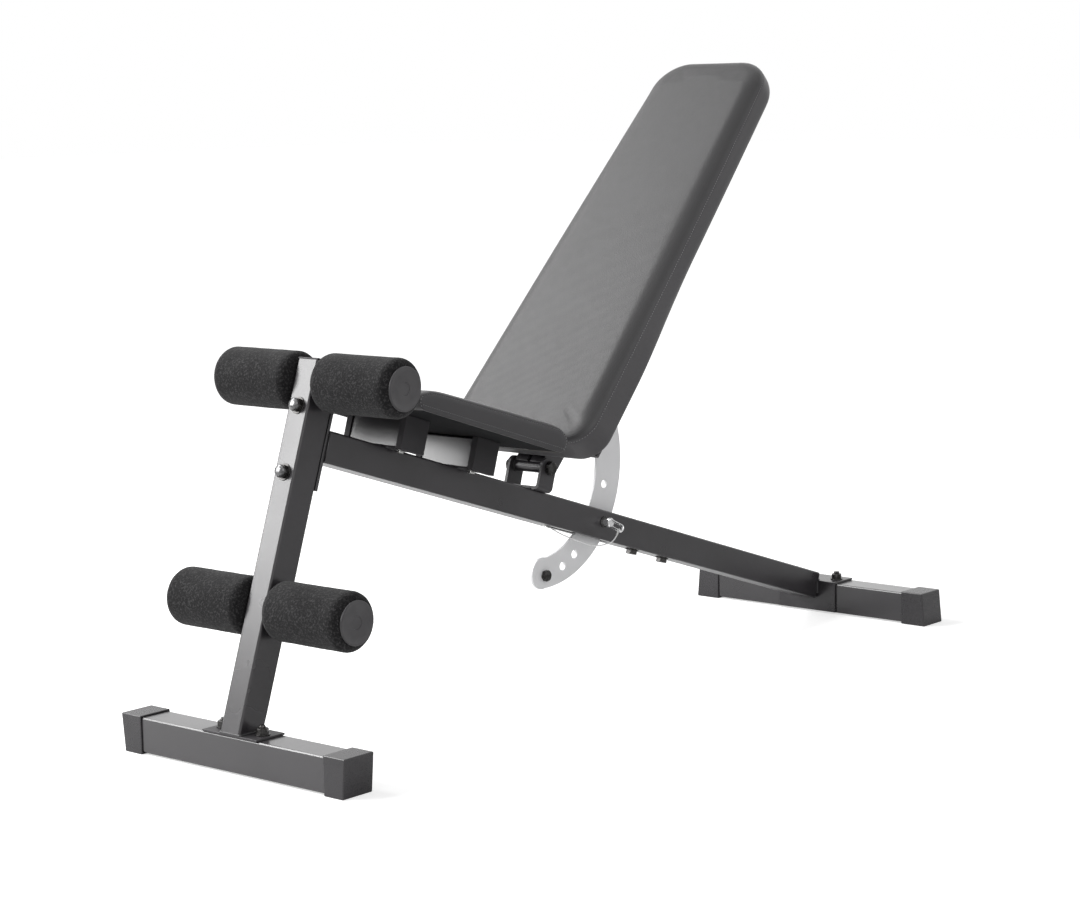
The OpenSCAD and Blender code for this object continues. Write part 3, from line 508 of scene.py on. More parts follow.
def hexagon_part(r, height, chamfer, bore=0.0):
    """A bolt's head or, with a bore, a nut from z = 0 up, for a bolt of radius r."""
    wide, flat = 1.85 * r, 1.85 * r * math.cos(math.pi / 6)

    def cut_off(limit):
        """The distance to a hexagon's side at each turn, its corners cut off at limit."""
        def reach(turn):
            local = (turn + math.pi / 6) % (math.pi / 3) - math.pi / 6
            return min(flat / math.cos(local), limit)
        return reach

    rings = [hoop(cut_off(limit), z, 48, 0.5) for z, limit in (
        (0.0, wide), (chamfer * 0.55, wide), (height - chamfer, wide),
        (height - chamfer * 0.35, flat * 1.07), (height, flat * 0.96))]
    if bore:
        rings += [hoop(bore, z, 48, 0.5) for z in (height, 0.0)]
    return ring_skin("hexagon", rings, 20, around=bore > 0, capped=bore == 0)


def threaded_end(r, length):
    """A bolt's end from z = 0 up, with its thread's ridges and a chamfered tip."""
    pitch = 0.3 * r
    profile = [(0, 0), (r * 0.9, 0)]
    z = 0.0
    while z + 1.6 * pitch < length:
        profile += [(r * 0.9, z + 0.1 * pitch), (r, z + 0.5 * pitch), (r, z + 0.62 * pitch),
                    (r * 0.9, z + pitch)]
        z += pitch
    profile += [(r * 0.93, z + 0.2 * pitch), (r * 0.78, length), (0, length)]
    return turned(profile, 32, "thread")


def joined(name, *parts):
    """One mesh from several, each with the matrix that places it."""
    shell = bmesh.new()
    for mesh, matrix in parts:
        copy = mesh.copy()
        copy.transform(matrix)
        shell.from_mesh(copy)
        bpy.data.meshes.remove(copy)
    return meshed(shell, name, 28)


def by_nodes(carrier, name, sizes, lay_out, mat):
    """The mesh that geometry nodes make of a carrier. lay_out adds the nodes for its shape, from
    the carrier's geometry and the named sizes."""
    tree = bpy.data.node_groups.new(name, "GeometryNodeTree")
    for way in ("INPUT", "OUTPUT"):
        tree.interface.new_socket("Geometry", in_out=way, socket_type="NodeSocketGeometry")
    held = {}
    for label, value in sizes.items():
        kind = "NodeSocketInt" if isinstance(value, int) else "NodeSocketFloat"
        socket = tree.interface.new_socket(label, in_out="INPUT", socket_type=kind)
        socket.default_value = value
        held[socket.identifier] = value
    shape = lay_out(tree, tree.nodes.new("NodeGroupInput").outputs)
    real = add_node(tree, "GeometryNodeRealizeInstances", {"Geometry": shape})
    paint = add_node(tree, "GeometryNodeSetMaterial", {
        "Geometry": real.outputs["Geometry"], "Material": mat})
    add_node(tree, "NodeGroupOutput", {"Geometry": paint.outputs["Geometry"]})
    modifier = carrier.modifiers.new(name, "NODES")
    modifier.node_group = tree
    for identifier, value in held.items():
        modifier[identifier] = value
    return made_real(carrier)


def copies_at(name, source_mesh, places, mat):
    """Geometry nodes put a copy of the mesh at each place, turned to the place's own axes."""
    dots = bpy.data.meshes.new(name + "_dots")
    dots.from_pydata([m.translation for m in places], [], [])
    for turn, m in zip(dots.attributes.new("turn", "FLOAT_VECTOR", "POINT").data, places):
        turn.vector = m.to_euler("XYZ")
    source = new_piece(name + "_source", source_mesh)

    def lay_out(tree, given):
        info = add_node(tree, "GeometryNodeObjectInfo", {"Object": source})
        turn = add_node(tree, "GeometryNodeInputNamedAttribute", {"Name": "turn"},
                        data_type="FLOAT_VECTOR")
        return add_node(tree, "GeometryNodeInstanceOnPoints", {
            "Points": given["Geometry"], "Instance": info.outputs["Geometry"],
            "Rotation": turn.outputs["Attribute"], "Scale": given["Scale"]}).outputs["Instances"]

    carrier = new_piece(name + "_carrier", dots)
    mesh = by_nodes(carrier, name + "_copies", {"Scale": 1.0}, lay_out, mat)
    bpy.data.objects.remove(source)
    return mesh


def bolt_set(name, node, places, source_mesh, mat):
    """A row of like bolts in place of their CAD node."""
    mesh = copies_at(name, source_mesh, places, mat)
    mesh.set_sharp_from_angle(angle=math.radians(28))
    stand_in(new_piece(name, mesh, mat), node)


# A bolt up through a foot: its washer sits at z = 0, its nut above and its head inside the tube.
WASHER_THICK, NUT_THICK = 0.0015, 0.008
washer_10 = washer(0.0053, 0.0105, WASHER_THICK, (0.0002, 0.0002))
head_10 = hexagon_part(0.005, 0.00625, 0.0012)
for name, node, x, half_gap, seat in (
        ("base_bolts", "base_plate_bolts", -FOOT_X, 0.038, 0.0555),
        ("bracket_bolts", "rear_bracket_bolts", FOOT_X, 0.043, 0.056)):
    head_drop = seat - FOOT_WALL_Z
    foot_bolt = joined(
        name + "_one", (washer_10, HERE),
        (hexagon_part(0.005, NUT_THICK, 0.0014, 0.00505), lifted(WASHER_THICK)),
        (threaded_end(0.005, head_drop + WASHER_THICK + NUT_THICK + 0.004), lifted(-head_drop)),
        (head_10, lifted(-head_drop) @ FLIPPED))
    bolt_set(name, node, [Matrix.Translation((x, y, seat)) for y in (-half_gap, half_gap)],
             foot_bolt, OXIDE)

# The post's two long bolts: head and washer behind the end plate, nut on the post's front.
BEHIND = 0.050  # from the post's front to behind the end plate
washer_12 = washer(0.0053, 0.0119, WASHER_THICK, (0.0003, 0.0003))
through = joined(
    "post_bolt_one", (washer_12, lifted(BEHIND)),
    (hexagon_part(0.0053, 0.00625, 0.0012), lifted(BEHIND + WASHER_THICK)),
    (washer_12, lifted(-WASHER_THICK)),
    (hexagon_part(0.0055, 0.0058, 0.0010, 0.00505), lifted(-WASHER_THICK) @ FLIPPED),
    (threaded_end(0.005, 0.0600), lifted(BEHIND + WASHER_THICK) @ FLIPPED))
into_post = POST @ Matrix.Rotation(math.pi / 2, 4, "Y")
bolt_places = [set_at(on_post(0, 0, up), into_post) for up in END_PLATE_BOLTS]
bolt_set("post_bolts", "end_plate_bolts", bolt_places, through, OXIDE)
dome = turned([(0, 0), (0.0086, 0), (0.0087, 0.0018), (0.0083, 0.0032), (0.0072, 0.0044),
               (0.0054, 0.0053), (0.0030, 0.0058), (0, 0.0060)], 48, "nut_dome")
domes = new_piece("post_nut_domes", copies_at(
    "post_nut_domes", dome, [place @ lifted(-0.0073) @ FLIPPED for place in bolt_places],
    WORN_STEEL), WORN_STEEL)
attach(domes, body_of(frame["nodes"]["end_plate_bolts"])[0])

# ---- Leg rollers ----
# Thick sleeves of moulded closed-cell foam on a steel tube through the post, two above and two
# below. Flat plastic discs with a rim close the tube's ends and keep the sleeves on.
ROLLERS = (("upper", 493.3), ("lower", 176.8))  # up the post
ROLLER_DEPTH = 22.5  # behind the post's front face
SLEEVE_MID, DISC_AT = 96.0, 168.3  # from the bench's middle
SLEEVE_HALF, SLEEVE_R, SLEEVE_BORE, SHOULDER = 72.0, 41.2, 12.58, 13.0
BORE_LIP, END_SINK = 1.5, 0.3  # the end face: its lip, and how far it sinks
SIDES = (("left", -1), ("right", 1))


def foam_finish():
    """Black foam with pale specks and a fine open grain."""
    mat, tree, place = new_material("speckled_foam")
    grains = add_node(tree, "ShaderNodeTexVoronoi", {"Vector": place, "Scale": 420})
    cells = add_noise(tree, place, 900, 2, 0.7)
    blotch = add_noise(tree, place, 330, 3, 0.6)
    cloud = add_noise(tree, place, 25, 3)
    specks = calc(tree, "MULTIPLY", spread(tree, blotch, (0.47, 0.68), 0, 1),
                  spread(tree, cells, (0.4, 0.6), 0.35, 1))
    relief = calc(tree, "ADD", spread(tree, grains.outputs["Distance"], (0.0, 0.6), 0, 0.6),
                  blotch)
    shade(tree, {
        "Base Color": two_tone(tree, specks, (0.0064, 0.0060, 0.0067), (0.054, 0.053, 0.054)),
        "Roughness": spread(tree, cloud, MIDDLE, 0.82, 0.95), "Specular IOR Level": 0.15,
        "Sheen Weight": 0.07, "Sheen Roughness": 0.6, "Normal": bumped(tree, relief, 0.0006, 0.8)})
    return mat


FOAM = foam_finish()


def sleeve_profile():
    """(radius, along) from the bore over a rounded shoulder, along the sleeve and back in."""
    flat, lip = SLEEVE_R - SHOULDER, SLEEVE_BORE + BORE_LIP
    face = END_SINK - SLEEVE_HALF
    end = [(SLEEVE_BORE, 1 - SLEEVE_HALF), (lip, face)]
    for k in range(1, 9):
        end.append((lip + (flat - lip) * k / 8, face - END_SINK * math.sin(math.pi * k / 16)))
    for k in range(1, 11):
        turn = math.pi / 2 * k / 10
        end.append((flat + SHOULDER * math.sin(turn),
                    -SLEEVE_HALF + SHOULDER * (1 - math.cos(turn))))
    reach = SLEEVE_HALF - SHOULDER
    run = [(SLEEVE_R, -reach + 2 * reach * k / 26) for k in range(1, 26)]
    return end + run + [(r, -z) for r, z in reversed(end)]


def foam_sleeve(name, up, side):
    """A sleeve whose skin is a little uneven, bored for the tube."""
    seed = Vector((up, side * 31.0, 7.0))

    def uneven(p):
        radial = Vector((p.x, 0, p.z))
        if radial.length > SLEEVE_BORE + 3:
            soft = noise.noise(p / 16 + seed) * 0.28 + noise.noise(p / 5 + seed) * 0.12
            p = p + radial.normalized() * soft
        return p / 1000

    rings = [[uneven(Vector((x, z, y))) for x, y, z in hoop(r, z, 96)]
             for r, z in sleeve_profile()]
    mesh = ring_skin(name, rings, around=True)
    mesh.transform(set_at(on_post(ROLLER_DEPTH, side * SLEEVE_MID, up), POST))
    return new_piece(name, mesh, FOAM)


for level, up in ROLLERS:
    for side_name, side in SIDES:
        node = f"{level}_foam_{side_name}"
        stand_in(foam_sleeve(node + "_sleeve", up, side), node)

GREY = surface("grey_plastic", {"grain": (1500, 2, 0.6), "cloud": (30, 3)},
               ("cloud", (0.046, 0.044, 0.047), (0.060, 0.058, 0.061)), ("grain", 0.36, 0.48),
               ("grain", 0.00008, 0.5), part=CENTRE)
disc_profile = [(0, -0.0203), (0.0096, -0.0203), (0.0104, -0.0195), (0.0104, 0.0),
                (0.0298, 0.0), (0.0306, 0.0006), (0.0306, 0.0021), (0.0301, 0.0027),
                (0.0288, 0.0030), (0.0276, 0.0027), (0.0262, 0.0021), (0.0180, 0.0017),
                (0.0098, 0.0019), (0.0092, 0.0018), (0.0088, 0.0010), (0.0040, 0.0007),
                (0, 0.0006)]
for level, up in ROLLERS:
    places = [Matrix.Translation(on_post(ROLLER_DEPTH, side * DISC_AT, up))
              @ Matrix.Rotation(-side * math.pi / 2, 4, "X") for side in (-1, 1)]
    bolt_set(level + "_discs", level + "_end_plugs", places,
             turned(disc_profile, 64, level + "_disc_one"), GREY)
    finish_node(level + "_roller_tube", COAT)

# ---- Main tube and rear tube ----
# The sloping spine of the bench: two lengths of square tube joined by an inner sleeve and two
# bolts. Its slots let the arc plate through, and its rear end laps over the rear bracket.
JOINT_BOLTS, TUBE_UNDER = (584, 664), -46.5  # the joint bolts, and the seat of their heads
rounded("main_tube", "main_tube_steel", 0.0028, COAT, 0.1)
rounded("rear_tube", "rear_tube_steel", 0.0028, COAT, 0.1)
finish_node("joint_sleeve", COAT)
rounded("rear_bracket", "rear_bracket_steel", 0.0008, COAT, 0.01)

# Each joint bolt's head is under the tube, its nut inside the sleeve.
joint_bolt = joined(
    "joint_bolt_one", (washer_10, HERE), (head_10, FLIPPED), (threaded_end(0.005, 0.018), HERE),
    (hexagon_part(0.005, NUT_THICK, 0.001, 0.00505), lifted(0.0055)))
bolt_set("joint_bolt_set", "joint_bolts",
         [set_at(on_tube(s, 0, TUBE_UNDER), TUBE) for s in JOINT_BOLTS], joint_bolt, OXIDE)

WELD = surface("painted_weld", {"peel": (500, 3, 0.6)},
               ("peel", (0.024, 0.024, 0.026), (0.036, 0.035, 0.037)), 0.34,
               ("peel", 0.0002, 0.6))


def weld_bead(name, line, width, body="frame_body", closed=False):
    """Geometry nodes sweep a bead along a line and swell it into the ripples of a weld."""
    def lay_out(tree, given):
        cut = add_node(tree, "GeometryNodeResampleCurve", {
            "Curve": given["Geometry"], "Length": 0.0007}, mode="LENGTH")
        along = add_node(tree, "GeometryNodeSplineParameter").outputs["Length"]
        saw = calc(tree, "FRACT", calc(tree, "DIVIDE", along, given["Ripple"]))
        swell = add_node(tree, "ShaderNodeMapRange", {"Value": saw, "To Min": 0.42,
                                                      "To Max": 0.54}).outputs["Result"]
        ripple = add_node(tree, "GeometryNodeCurvePrimitiveCircle", {"Resolution": 8, "Radius": 1})
        return add_node(tree, "GeometryNodeCurveToMesh", {
            "Curve": cut.outputs["Curve"], "Profile Curve": ripple.outputs["Curve"],
            "Scale": calc(tree, "MULTIPLY", swell, given["Width"]),
            "Fill Caps": True}).outputs["Mesh"]

    mesh = by_nodes(poly_curve(name + "_path", line, closed), name + "_ripples",
                    {"Width": width, "Ripple": 0.0021, "Seed": 3}, lay_out, WELD)
    mesh.shade_smooth()
    bead = new_piece(name, mesh, WELD)
    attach(bead, body)


def straight(a, b, steps=2):
    """Points along a straight line, both ends among them."""
    return [a.lerp(b, k / steps) for k in range(steps + 1)]


# The post's weld runs round its foot, which is cut level.
base_seam = [on_post(depth, y, depth * math.tan(POST_LEAN) + 0.6)
             for depth, y in ((1.5, -19.6), (45.6, -19.6), (45.6, 19.6), (1.5, 19.6))]
weld_bead("post_weld", base_seam, 0.0042, closed=True)

# ---- Cross tubes ----
# Two short square tubes are welded across the spine under the seat. Black plastic caps cover their
# ends, and screws go up through them into the seat's board.
CROSS_TUBES = (("front", -15), ("rear", 139))  # down the main tube
SCREW_Y = 34.5
for place_name, s in CROSS_TUBES:
    node = place_name + "_cross_tube"
    rounded(node, node + "_steel", 0.0026, COAT, 0.06)
    for end_name, along in (("front", -22.9), ("rear", 22.9)):
        weld_bead(f"{node}_{end_name}_weld",
                  straight(on_tube(s + along, -19, 0.8), on_tube(s + along, 19, 0.8)), 0.0042)
    for side_name, side in SIDES:
        y = side * 22.4
        weld_bead(f"{node}_{side_name}_weld",
                  straight(on_tube(s - 19, y, 0.4), on_tube(s + 19, y, 0.4)), 0.0040)
rounded("cross_tube_caps", "cross_cap_mouldings", 0.0008, MATT_PLASTIC, 0.009)

ZINC = surface("bright_zinc", {"cloud": (120, 4)},
               ("cloud", (0.52, 0.52, 0.50), (0.70, 0.70, 0.70)), ("cloud", 0.25, 0.42),
               ("cloud", 0.00006, 0.4), more={"Metallic": 1.0})
head_6 = hexagon_part(0.003, 0.00375, 0.0007)
seat_screw = joined(
    "seat_screw_one", (washer(0.0033, 0.0063, 0.0010, (0.0001, 0.0002), 32), lifted(-0.0010)),
    (head_6, lifted(-0.0010) @ FLIPPED),
    (threaded_end(0.003, 0.057), lifted(-0.0010)))
bolt_set("seat_screw_set", "seat_screws",
         [set_at(on_tube(s, y, 0), TUBE) for place_name, s in CROSS_TUBES
          for y in (-SCREW_Y, SCREW_Y)], seat_screw, ZINC)

# ---- Rear tube's foot ----
# Beads of weld join the rear tube to the bracket that hooks over the rear foot.
BRACKET_X = FOOT_X - 0.025 - 0.0035  # the bracket's front face
TUBE_WALL_Y = 0.0226  # the corner of a bead on the tube's side
for side_name, side in SIDES:
    y = side * TUBE_WALL_Y
    seam = straight(Vector((BRACKET_X - 0.0002, y, 0.0335)),
                    Vector((BRACKET_X - 0.0002, y, 0.0545)), 12)
    weld_bead(f"rear_tube_{side_name}_weld", seam, 0.0040)
    lap = straight(Vector((BRACKET_X + 0.001, y, 0.0568)), Vector((0.6500, y, 0.0568)))
    weld_bead(f"rear_lap_{side_name}_weld", lap, 0.0034)

# ---- Hinge ----
# A bent U of plate is welded to the main tube. A black bolt with nylon washers runs through its
# ears and through the backrest's hinge tube.
BACK_ANGLE = math.radians(46.5)
HINGE = on_tube(HINGE_S, 0, HINGE_N)
BACK = Matrix.Translation(HINGE) @ Matrix.Rotation(-BACK_ANGLE, 4, "Y")
EAR_OUT = 0.0344  # the outer faces of the ears and washers
ACROSS = Matrix.Rotation(-math.pi / 2, 4, "X")


def on_back(e, y, h):
    """A point e up the backrest from the hinge and h towards the sitter, in millimetres."""
    return BACK @ Vector((e / 1000, y / 1000, h / 1000))


rounded("hinge_bracket", "hinge_bracket_steel", 0.0005, DULL_COAT, 0.004)
for end_name, along in (("front", -17.0), ("rear", 17.0)):
    s = HINGE_S + along
    weld_bead(f"hinge_{end_name}_weld", straight(on_tube(s, -20, 0.6), on_tube(s, 20, 0.6)), 0.0036)
hinge_bolt = joined(
    "hinge_bolt_one", (hexagon_part(0.006, 0.0075, 0.0014), FLIPPED),
    (threaded_end(0.00598, 2 * EAR_OUT + 0.014), HERE))
for name, node, y, part in (
        ("hinge_bolt_part", "hinge_bolt", -EAR_OUT, hinge_bolt),
        ("hinge_nut_part", "hinge_nut", EAR_OUT, hexagon_part(0.006, 0.0096, 0.0015, 0.00605))):
    bolt_set(name, node, [Matrix.Translation(HINGE + Vector((0, y, 0))) @ ACROSS], part, OXIDE)
NYLON = surface("dark_nylon", {"cloud": (200, 3)},
                ("cloud", (0.05, 0.05, 0.05), (0.08, 0.08, 0.078)), 0.45, ("cloud", 0.00008, 0.4))
rounded("hinge_washers", "hinge_washer_pair", 0.0004, NYLON)
finish_node("hinge_tube", COAT)

# ---- Back rails ----
# Two rectangular tubes run up behind the back board, one on each side of the arc plate. Flat straps
# welded across them carry the board, and plastic caps close their ends.
STRAPS = (("lower", 18), ("upper", 520))  # up the backrest
STRAP_WIDTH, RAIL_FACE = 30.0, 12.9  # and the plane of their welds
for rail in ("back_rail_left", "back_rail_right"):
    rounded(rail, rail + "_steel", 0.0020, COAT, 0.02)
rounded("rail_end_caps", "rail_cap_mouldings", 0.0007, MATT_PLASTIC, 0.01)
for level, at in STRAPS:
    node = level + "_back_strap"
    rounded(node, node + "_steel", 0.0008, COAT, 0.02)
    for side_name, side in SIDES:
        for end_name, e in (("low", at), ("high", at + STRAP_WIDTH)):
            seam = straight(on_back(e, side * 4, RAIL_FACE), on_back(e, side * 26, RAIL_FACE))
            weld_bead(f"{node}_{side_name}_{end_name}_weld", seam, 0.0030, "backrest_body")
back_screw = joined("back_screw_one", (head_6, FLIPPED), (threaded_end(0.003, 0.015), HERE))
bolt_set("back_screw_set", "back_screws",
         [set_at(on_back(at + STRAP_WIDTH / 2, y, 12.7), BACK) for level, at in STRAPS
          for y in (-75, 75)], back_screw, ZINC)

# ---- Arc plate ----
# A curved plate in light grey satin paint, between the rails. Its holes take the locking pin, and a
# bolt through its lower end stops the backrest.
STOP_ANGLE, STOP_AT, PLATE_HALF = math.radians(-82.5), 0.172, 0.0025
PLATE = surface("grey_paint", {"cloud": (9, 3), "peel": (600, 3, 0.6)},
                ("cloud", (0.74, 0.74, 0.75), (0.81, 0.81, 0.82)), ("peel", 0.36, 0.46),
                ("peel", 0.00006, 0.5), part=MIDDLE, more={"Metallic": 0.15})
rounded("arc_plate", "arc_plate_steel", 0.0006, PLATE, segments=2)
stop_place = HINGE + STOP_AT * Vector((math.cos(STOP_ANGLE), 0, math.sin(STOP_ANGLE)))
stop_one = joined(
    "stop_one", (head_10, lifted(-PLATE_HALF) @ FLIPPED),
    (threaded_end(0.00498, 0.013), lifted(-PLATE_HALF)),
    (hexagon_part(0.005, NUT_THICK, 0.0012, 0.00505), lifted(PLATE_HALF)))
bolt_set("stop_bolt_part", "stop_bolt", [
    Matrix.Translation(stop_place) @ Matrix.Rotation(-STOP_ANGLE, 4, "Y") @ ACROSS], stop_one,
    OXIDE)

# ---- Locking pin ----
# A bright steel pin slides in two black guides pressed into the main tube's walls. A loop of wire
# through its head is pulled by hand, and the lanyard's ferrule is crimped to the loop.
CHROME = surface("bright_steel", {"cloud": (180, 3)},
                 ("cloud", (0.78, 0.78, 0.79), (0.9, 0.9, 0.9)), ("cloud", 0.14, 0.24),
                 ("cloud", 0.00003, 0.3), more={"Metallic": 0.85})
rounded("pin_guides", "pin_guide_pair", 0.0008, OXIDE)
rounded("lock_pin", "lock_pin_steel", 0.0008, CHROME)
rounded("pull_loop", "pull_loop_wire", 0.0001, CHROME, shortest=1.0)
for node in ("lanyard_ferrule", "lanyard_anchor"):
    finish_node(node, ZINC)

# ---- Seat ----
# Foam on a plywood board in grey vinyl, screwed to the cross tubes. The ribbed top cover runs over
# both rounded ends and is sewn to a flat panel on each side; a black cloth closes the underside.
SEAT_FRONT, SEAT_REAR = -107.0, 217.6  # its ends, down the main tube
SEAT_LOW, SEAT_TOP, TOP_S, SEAT_FALL = 46.95, 85.0, 228, 0.0209  # underside, top and its slope
SEAT_SIDE_Y, SEAT_BULGE = 140.3, 10.4  # its sides, and how far its rear end swells
ROLL_FROM, ROLL_TO, ROLL = 172, -60, 27  # where the top starts to roll over, and how soon
SEAT_CLOTH_FROM, SEAT_CLOTH_TO, SEAT_CLOTH_Y = -96, 204, 137.5
STITCH_PITCH, RIB_PITCH = 0.0046, 0.0021


def vinyl(name, base, dark, light, side_sheen_gain):
    """Satin vinyl with a fine grain. Ribs follow each other along a part's own X where the
    attribute 'face' is 1, and the panels where it is 0 are side_sheen_gain times as light: a
    painted sheen where light grazes them."""
    mat, tree, place = new_material(name)
    cloud = add_noise(tree, place, 6, 4)
    creases = add_noise(tree, place, 70, 5, 0.62)
    grain = add_node(tree, "ShaderNodeTexVoronoi", {"Vector": place, "Scale": 760},
                     feature="SMOOTH_F1").outputs["Distance"]
    face = add_node(tree, "ShaderNodeAttribute", attribute_name="face").outputs["Fac"]
    lengthwise = base.to_3x3() @ Vector((1, 0, 0)) * (2 * math.pi / RIB_PITCH)
    along = add_node(tree, "ShaderNodeVectorMath", {0: place, 1: lengthwise},
                     operation="DOT_PRODUCT").outputs["Value"]
    ribs = calc(tree, "MULTIPLY", spread(tree, calc(tree, "SINE", along), (-0.9, 0.9), 0, 1), face)
    # Where face is 0 the colour is raised by side_sheen_gain, a painted sheen of grazing light.
    gain = calc(tree, "MULTIPLY_ADD", ribs, 0.34, spread(tree, face, (0, 1), side_sheen_gain, 0.80))
    plain = two_tone(tree, spread(tree, cloud, CENTRE, 0, 1), dark, light)
    tone = add_node(tree, "ShaderNodeMix", {"Factor": 1.0, "A": plain, "B": gain},
                    data_type="RGBA", blend_type="MULTIPLY")
    normal = None
    for height, distance, strength in (
            (creases, 0.00012, 0.3), (grain, 0.00022, 0.7), (ribs, 0.00022, 0.55)):
        normal = bumped(tree, height, distance, strength, under=normal)
    shade(tree, {
        "Base Color": tone.outputs["Result"],
        "Roughness": spread(tree, creases, MIDDLE, 0.45, 0.48), "Specular IOR Level": 0.5,
        "Sheen Weight": 0.32, "Sheen Roughness": 0.35, "Normal": normal})
    return mat


CLOTH = surface("black_cloth", {"fibres": (1100, 4, 0.7), "cloud": (40, 3)},
                ("cloud", (0.012, 0.012, 0.013), (0.024, 0.024, 0.025)), 0.95,
                ("fibres", 0.0003, 0.8), more={"Specular IOR Level": 0.06})
THREAD = surface("grey_thread", {"twist": (2500, 2)},
                 ("twist", (0.20, 0.20, 0.205), (0.34, 0.34, 0.345)), 0.6)


def loop_mesh(name, rings, face_of, cloth_rings=0):
    """Joins rings of equal length into a closed skin, and keeps each ring's number and how much
    of the ribbed face each point has. The first cloth_rings take the second material."""
    shell = bmesh.new()
    ring_of = shell.verts.layers.int.new("ring")
    face_level = shell.verts.layers.float.new("face")
    rows = []
    for r, points in enumerate(rings):
        rows.append([shell.verts.new(p) for p in points])
        for v, p in zip(rows[-1], points):
            v[ring_of] = r
            v[face_level] = face_of(r, p)
    count = len(rings[0])
    for r, (low, high) in enumerate(zip(rows, rows[1:])):
        for k in range(count):
            j = (k + 1) % count
            face = shell.faces.new((low[k], low[j], high[j], high[k]))
            face.material_index = int(r < cloth_rings)
    bmesh.ops.remove_doubles(shell, verts=shell.verts, dist=2e-5)
    bmesh.ops.dissolve_degenerate(shell, edges=shell.edges, dist=1e-6)
    bmesh.ops.recalc_face_normals(shell, faces=shell.faces)
    mesh = bpy.data.meshes.new(name)
    shell.to_mesh(mesh)
    shell.free()
    return mesh


def averaged(shifts, fixed, edges):
    """Each shift as the mean of its own and its neighbours', but where it is fixed."""
    sums, counts = [shift.copy() for shift in shifts], [1] * len(shifts)
    for edge in edges:
        i, j = edge.vertices
        sums[i] += shifts[j]
        sums[j] += shifts[i]
        counts[i] += 1
        counts[j] += 1
    return [old if still else total / count
            for old, still, total, count in zip(shifts, fixed, sums, counts)]


def cushion(name, node, mesh, mat, seams, base, board, cap, pressure):
    """A pad whose foam swells its cover: cloth under a little pressure, by cap at most. It is held
    at its seams and where it lies on the board, whose level is given in the part's own frame."""
    soft = new_piece(name + "_cover", mesh)
    pins = soft.vertex_groups.new(name="pins")
    ring_of, inwards = mesh.attributes["ring"].data, base.inverted()
    fixed = [ring_of[v.index].value in seams or (inwards @ v.co).z * 1000 < board + 0.6
             for v in mesh.vertices]
    for v in mesh.vertices:
        pins.add([v.index], 1.0 if fixed[v.index] else 0.0, "REPLACE")
    cloth = soft.modifiers.new("cover", "CLOTH")
    for key, value in dict(
            quality=6, mass=0.25, tension_stiffness=22, compression_stiffness=22,
            shear_stiffness=12, bending_stiffness=6, air_damping=3, use_pressure=True,
            uniform_pressure_force=pressure, vertex_group_mass="pins").items():
        setattr(cloth.settings, key, value)
    cloth.settings.effector_weights.gravity = 0
    cloth.collision_settings.use_collision = False
    cloth.collision_settings.use_self_collision = False
    cloth.point_cache.frame_start = 1
    cloth.point_cache.frame_end = 20
    for step in range(1, 21):
        bpy.context.scene.frame_set(step)
    graph = bpy.context.evaluated_depsgraph_get()
    swollen = bpy.data.meshes.new_from_object(soft.evaluated_get(graph))
    shifts = [b.co - a.co for a, b in zip(mesh.vertices, swollen.vertices)]
    bpy.context.scene.frame_set(1)
    soft.modifiers.remove(cloth)
    bpy.data.meshes.remove(swollen)
    for _ in range(12):
        shifts = averaged(shifts, fixed, mesh.edges)
    for v, shift in zip(mesh.vertices, shifts):
        v.co += shift * min(1.0, cap / max(shift.length, 1e-9))
    fine = soft.modifiers.new("fine", "SUBSURF")
    fine.levels = fine.render_levels = 1
    fine.uv_smooth = "NONE"
    skin = made_real(soft)
    skin.shade_smooth()
    for finish in (mat, CLOTH):
        skin.materials.append(finish)
    stand_in(new_piece(name, skin), node)


def stitch_row(name, line, pitch, mat, body, size=(0.0026, 0.0009, 0.0006), closed=False):
    """Geometry nodes lay a small rounded stitch along a line at an even pitch."""
    def lay_out(tree, given):
        even = add_node(tree, "GeometryNodeResampleCurve", {
            "Curve": given["Geometry"], "Length": given["Pitch"]}, mode="LENGTH")
        stitch = add_node(tree, "GeometryNodeMeshUVSphere", {
            "Segments": 6, "Rings": 4, "Radius": 0.5})
        along = add_node(tree, "GeometryNodeInputTangent").outputs["Tangent"]
        turn = add_node(tree, "FunctionNodeAlignRotationToVector", {"Vector": along}, axis="X")
        sizes = add_node(tree, "ShaderNodeCombineXYZ", {
            "X": given["Length"], "Y": given["Width"], "Z": given["Height"]})
        return add_node(tree, "GeometryNodeInstanceOnPoints", {
            "Points": even.outputs["Curve"], "Instance": stitch.outputs["Mesh"],
            "Rotation": turn.outputs["Rotation"],
            "Scale": sizes.outputs["Vector"]}).outputs["Instances"]

    mesh = by_nodes(poly_curve(name + "_path", line, closed), name + "_row",
                    {"Pitch": pitch, "Length": size[0], "Width": size[1], "Height": size[2],
                     "Seed": 5}, lay_out, mat)
    mesh.shade_smooth()
    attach(new_piece(name, mesh, mat), body)


def seat_top(s):
    """The height of the seat's top line."""
    return SEAT_TOP - SEAT_FALL * (TOP_S - s)


def seat_end(sign):
    """Half of a rounded end of the seat's section, from its top line down to its underside."""
    rear = [(199, 81.9), (204.5, 79.7), (209.5, 77.2), (213.6, 74.0), (216.3, 70.4),
            (217.5, 66.6), (217.3, 62.4), (216.0, 58.2), (214.0, 54.2), (211.6, 50.8),
            (208.4, 48.3), (204.0, 47.05)]
    if sign > 0:
        return rear
    drop = (seat_top(SEAT_FRONT) - SEAT_LOW) / (SEAT_TOP - SEAT_LOW)
    return [(SEAT_FRONT + SEAT_REAR - s, SEAT_LOW + (n - SEAT_LOW) * drop)
            for s, n in reversed(rear)]


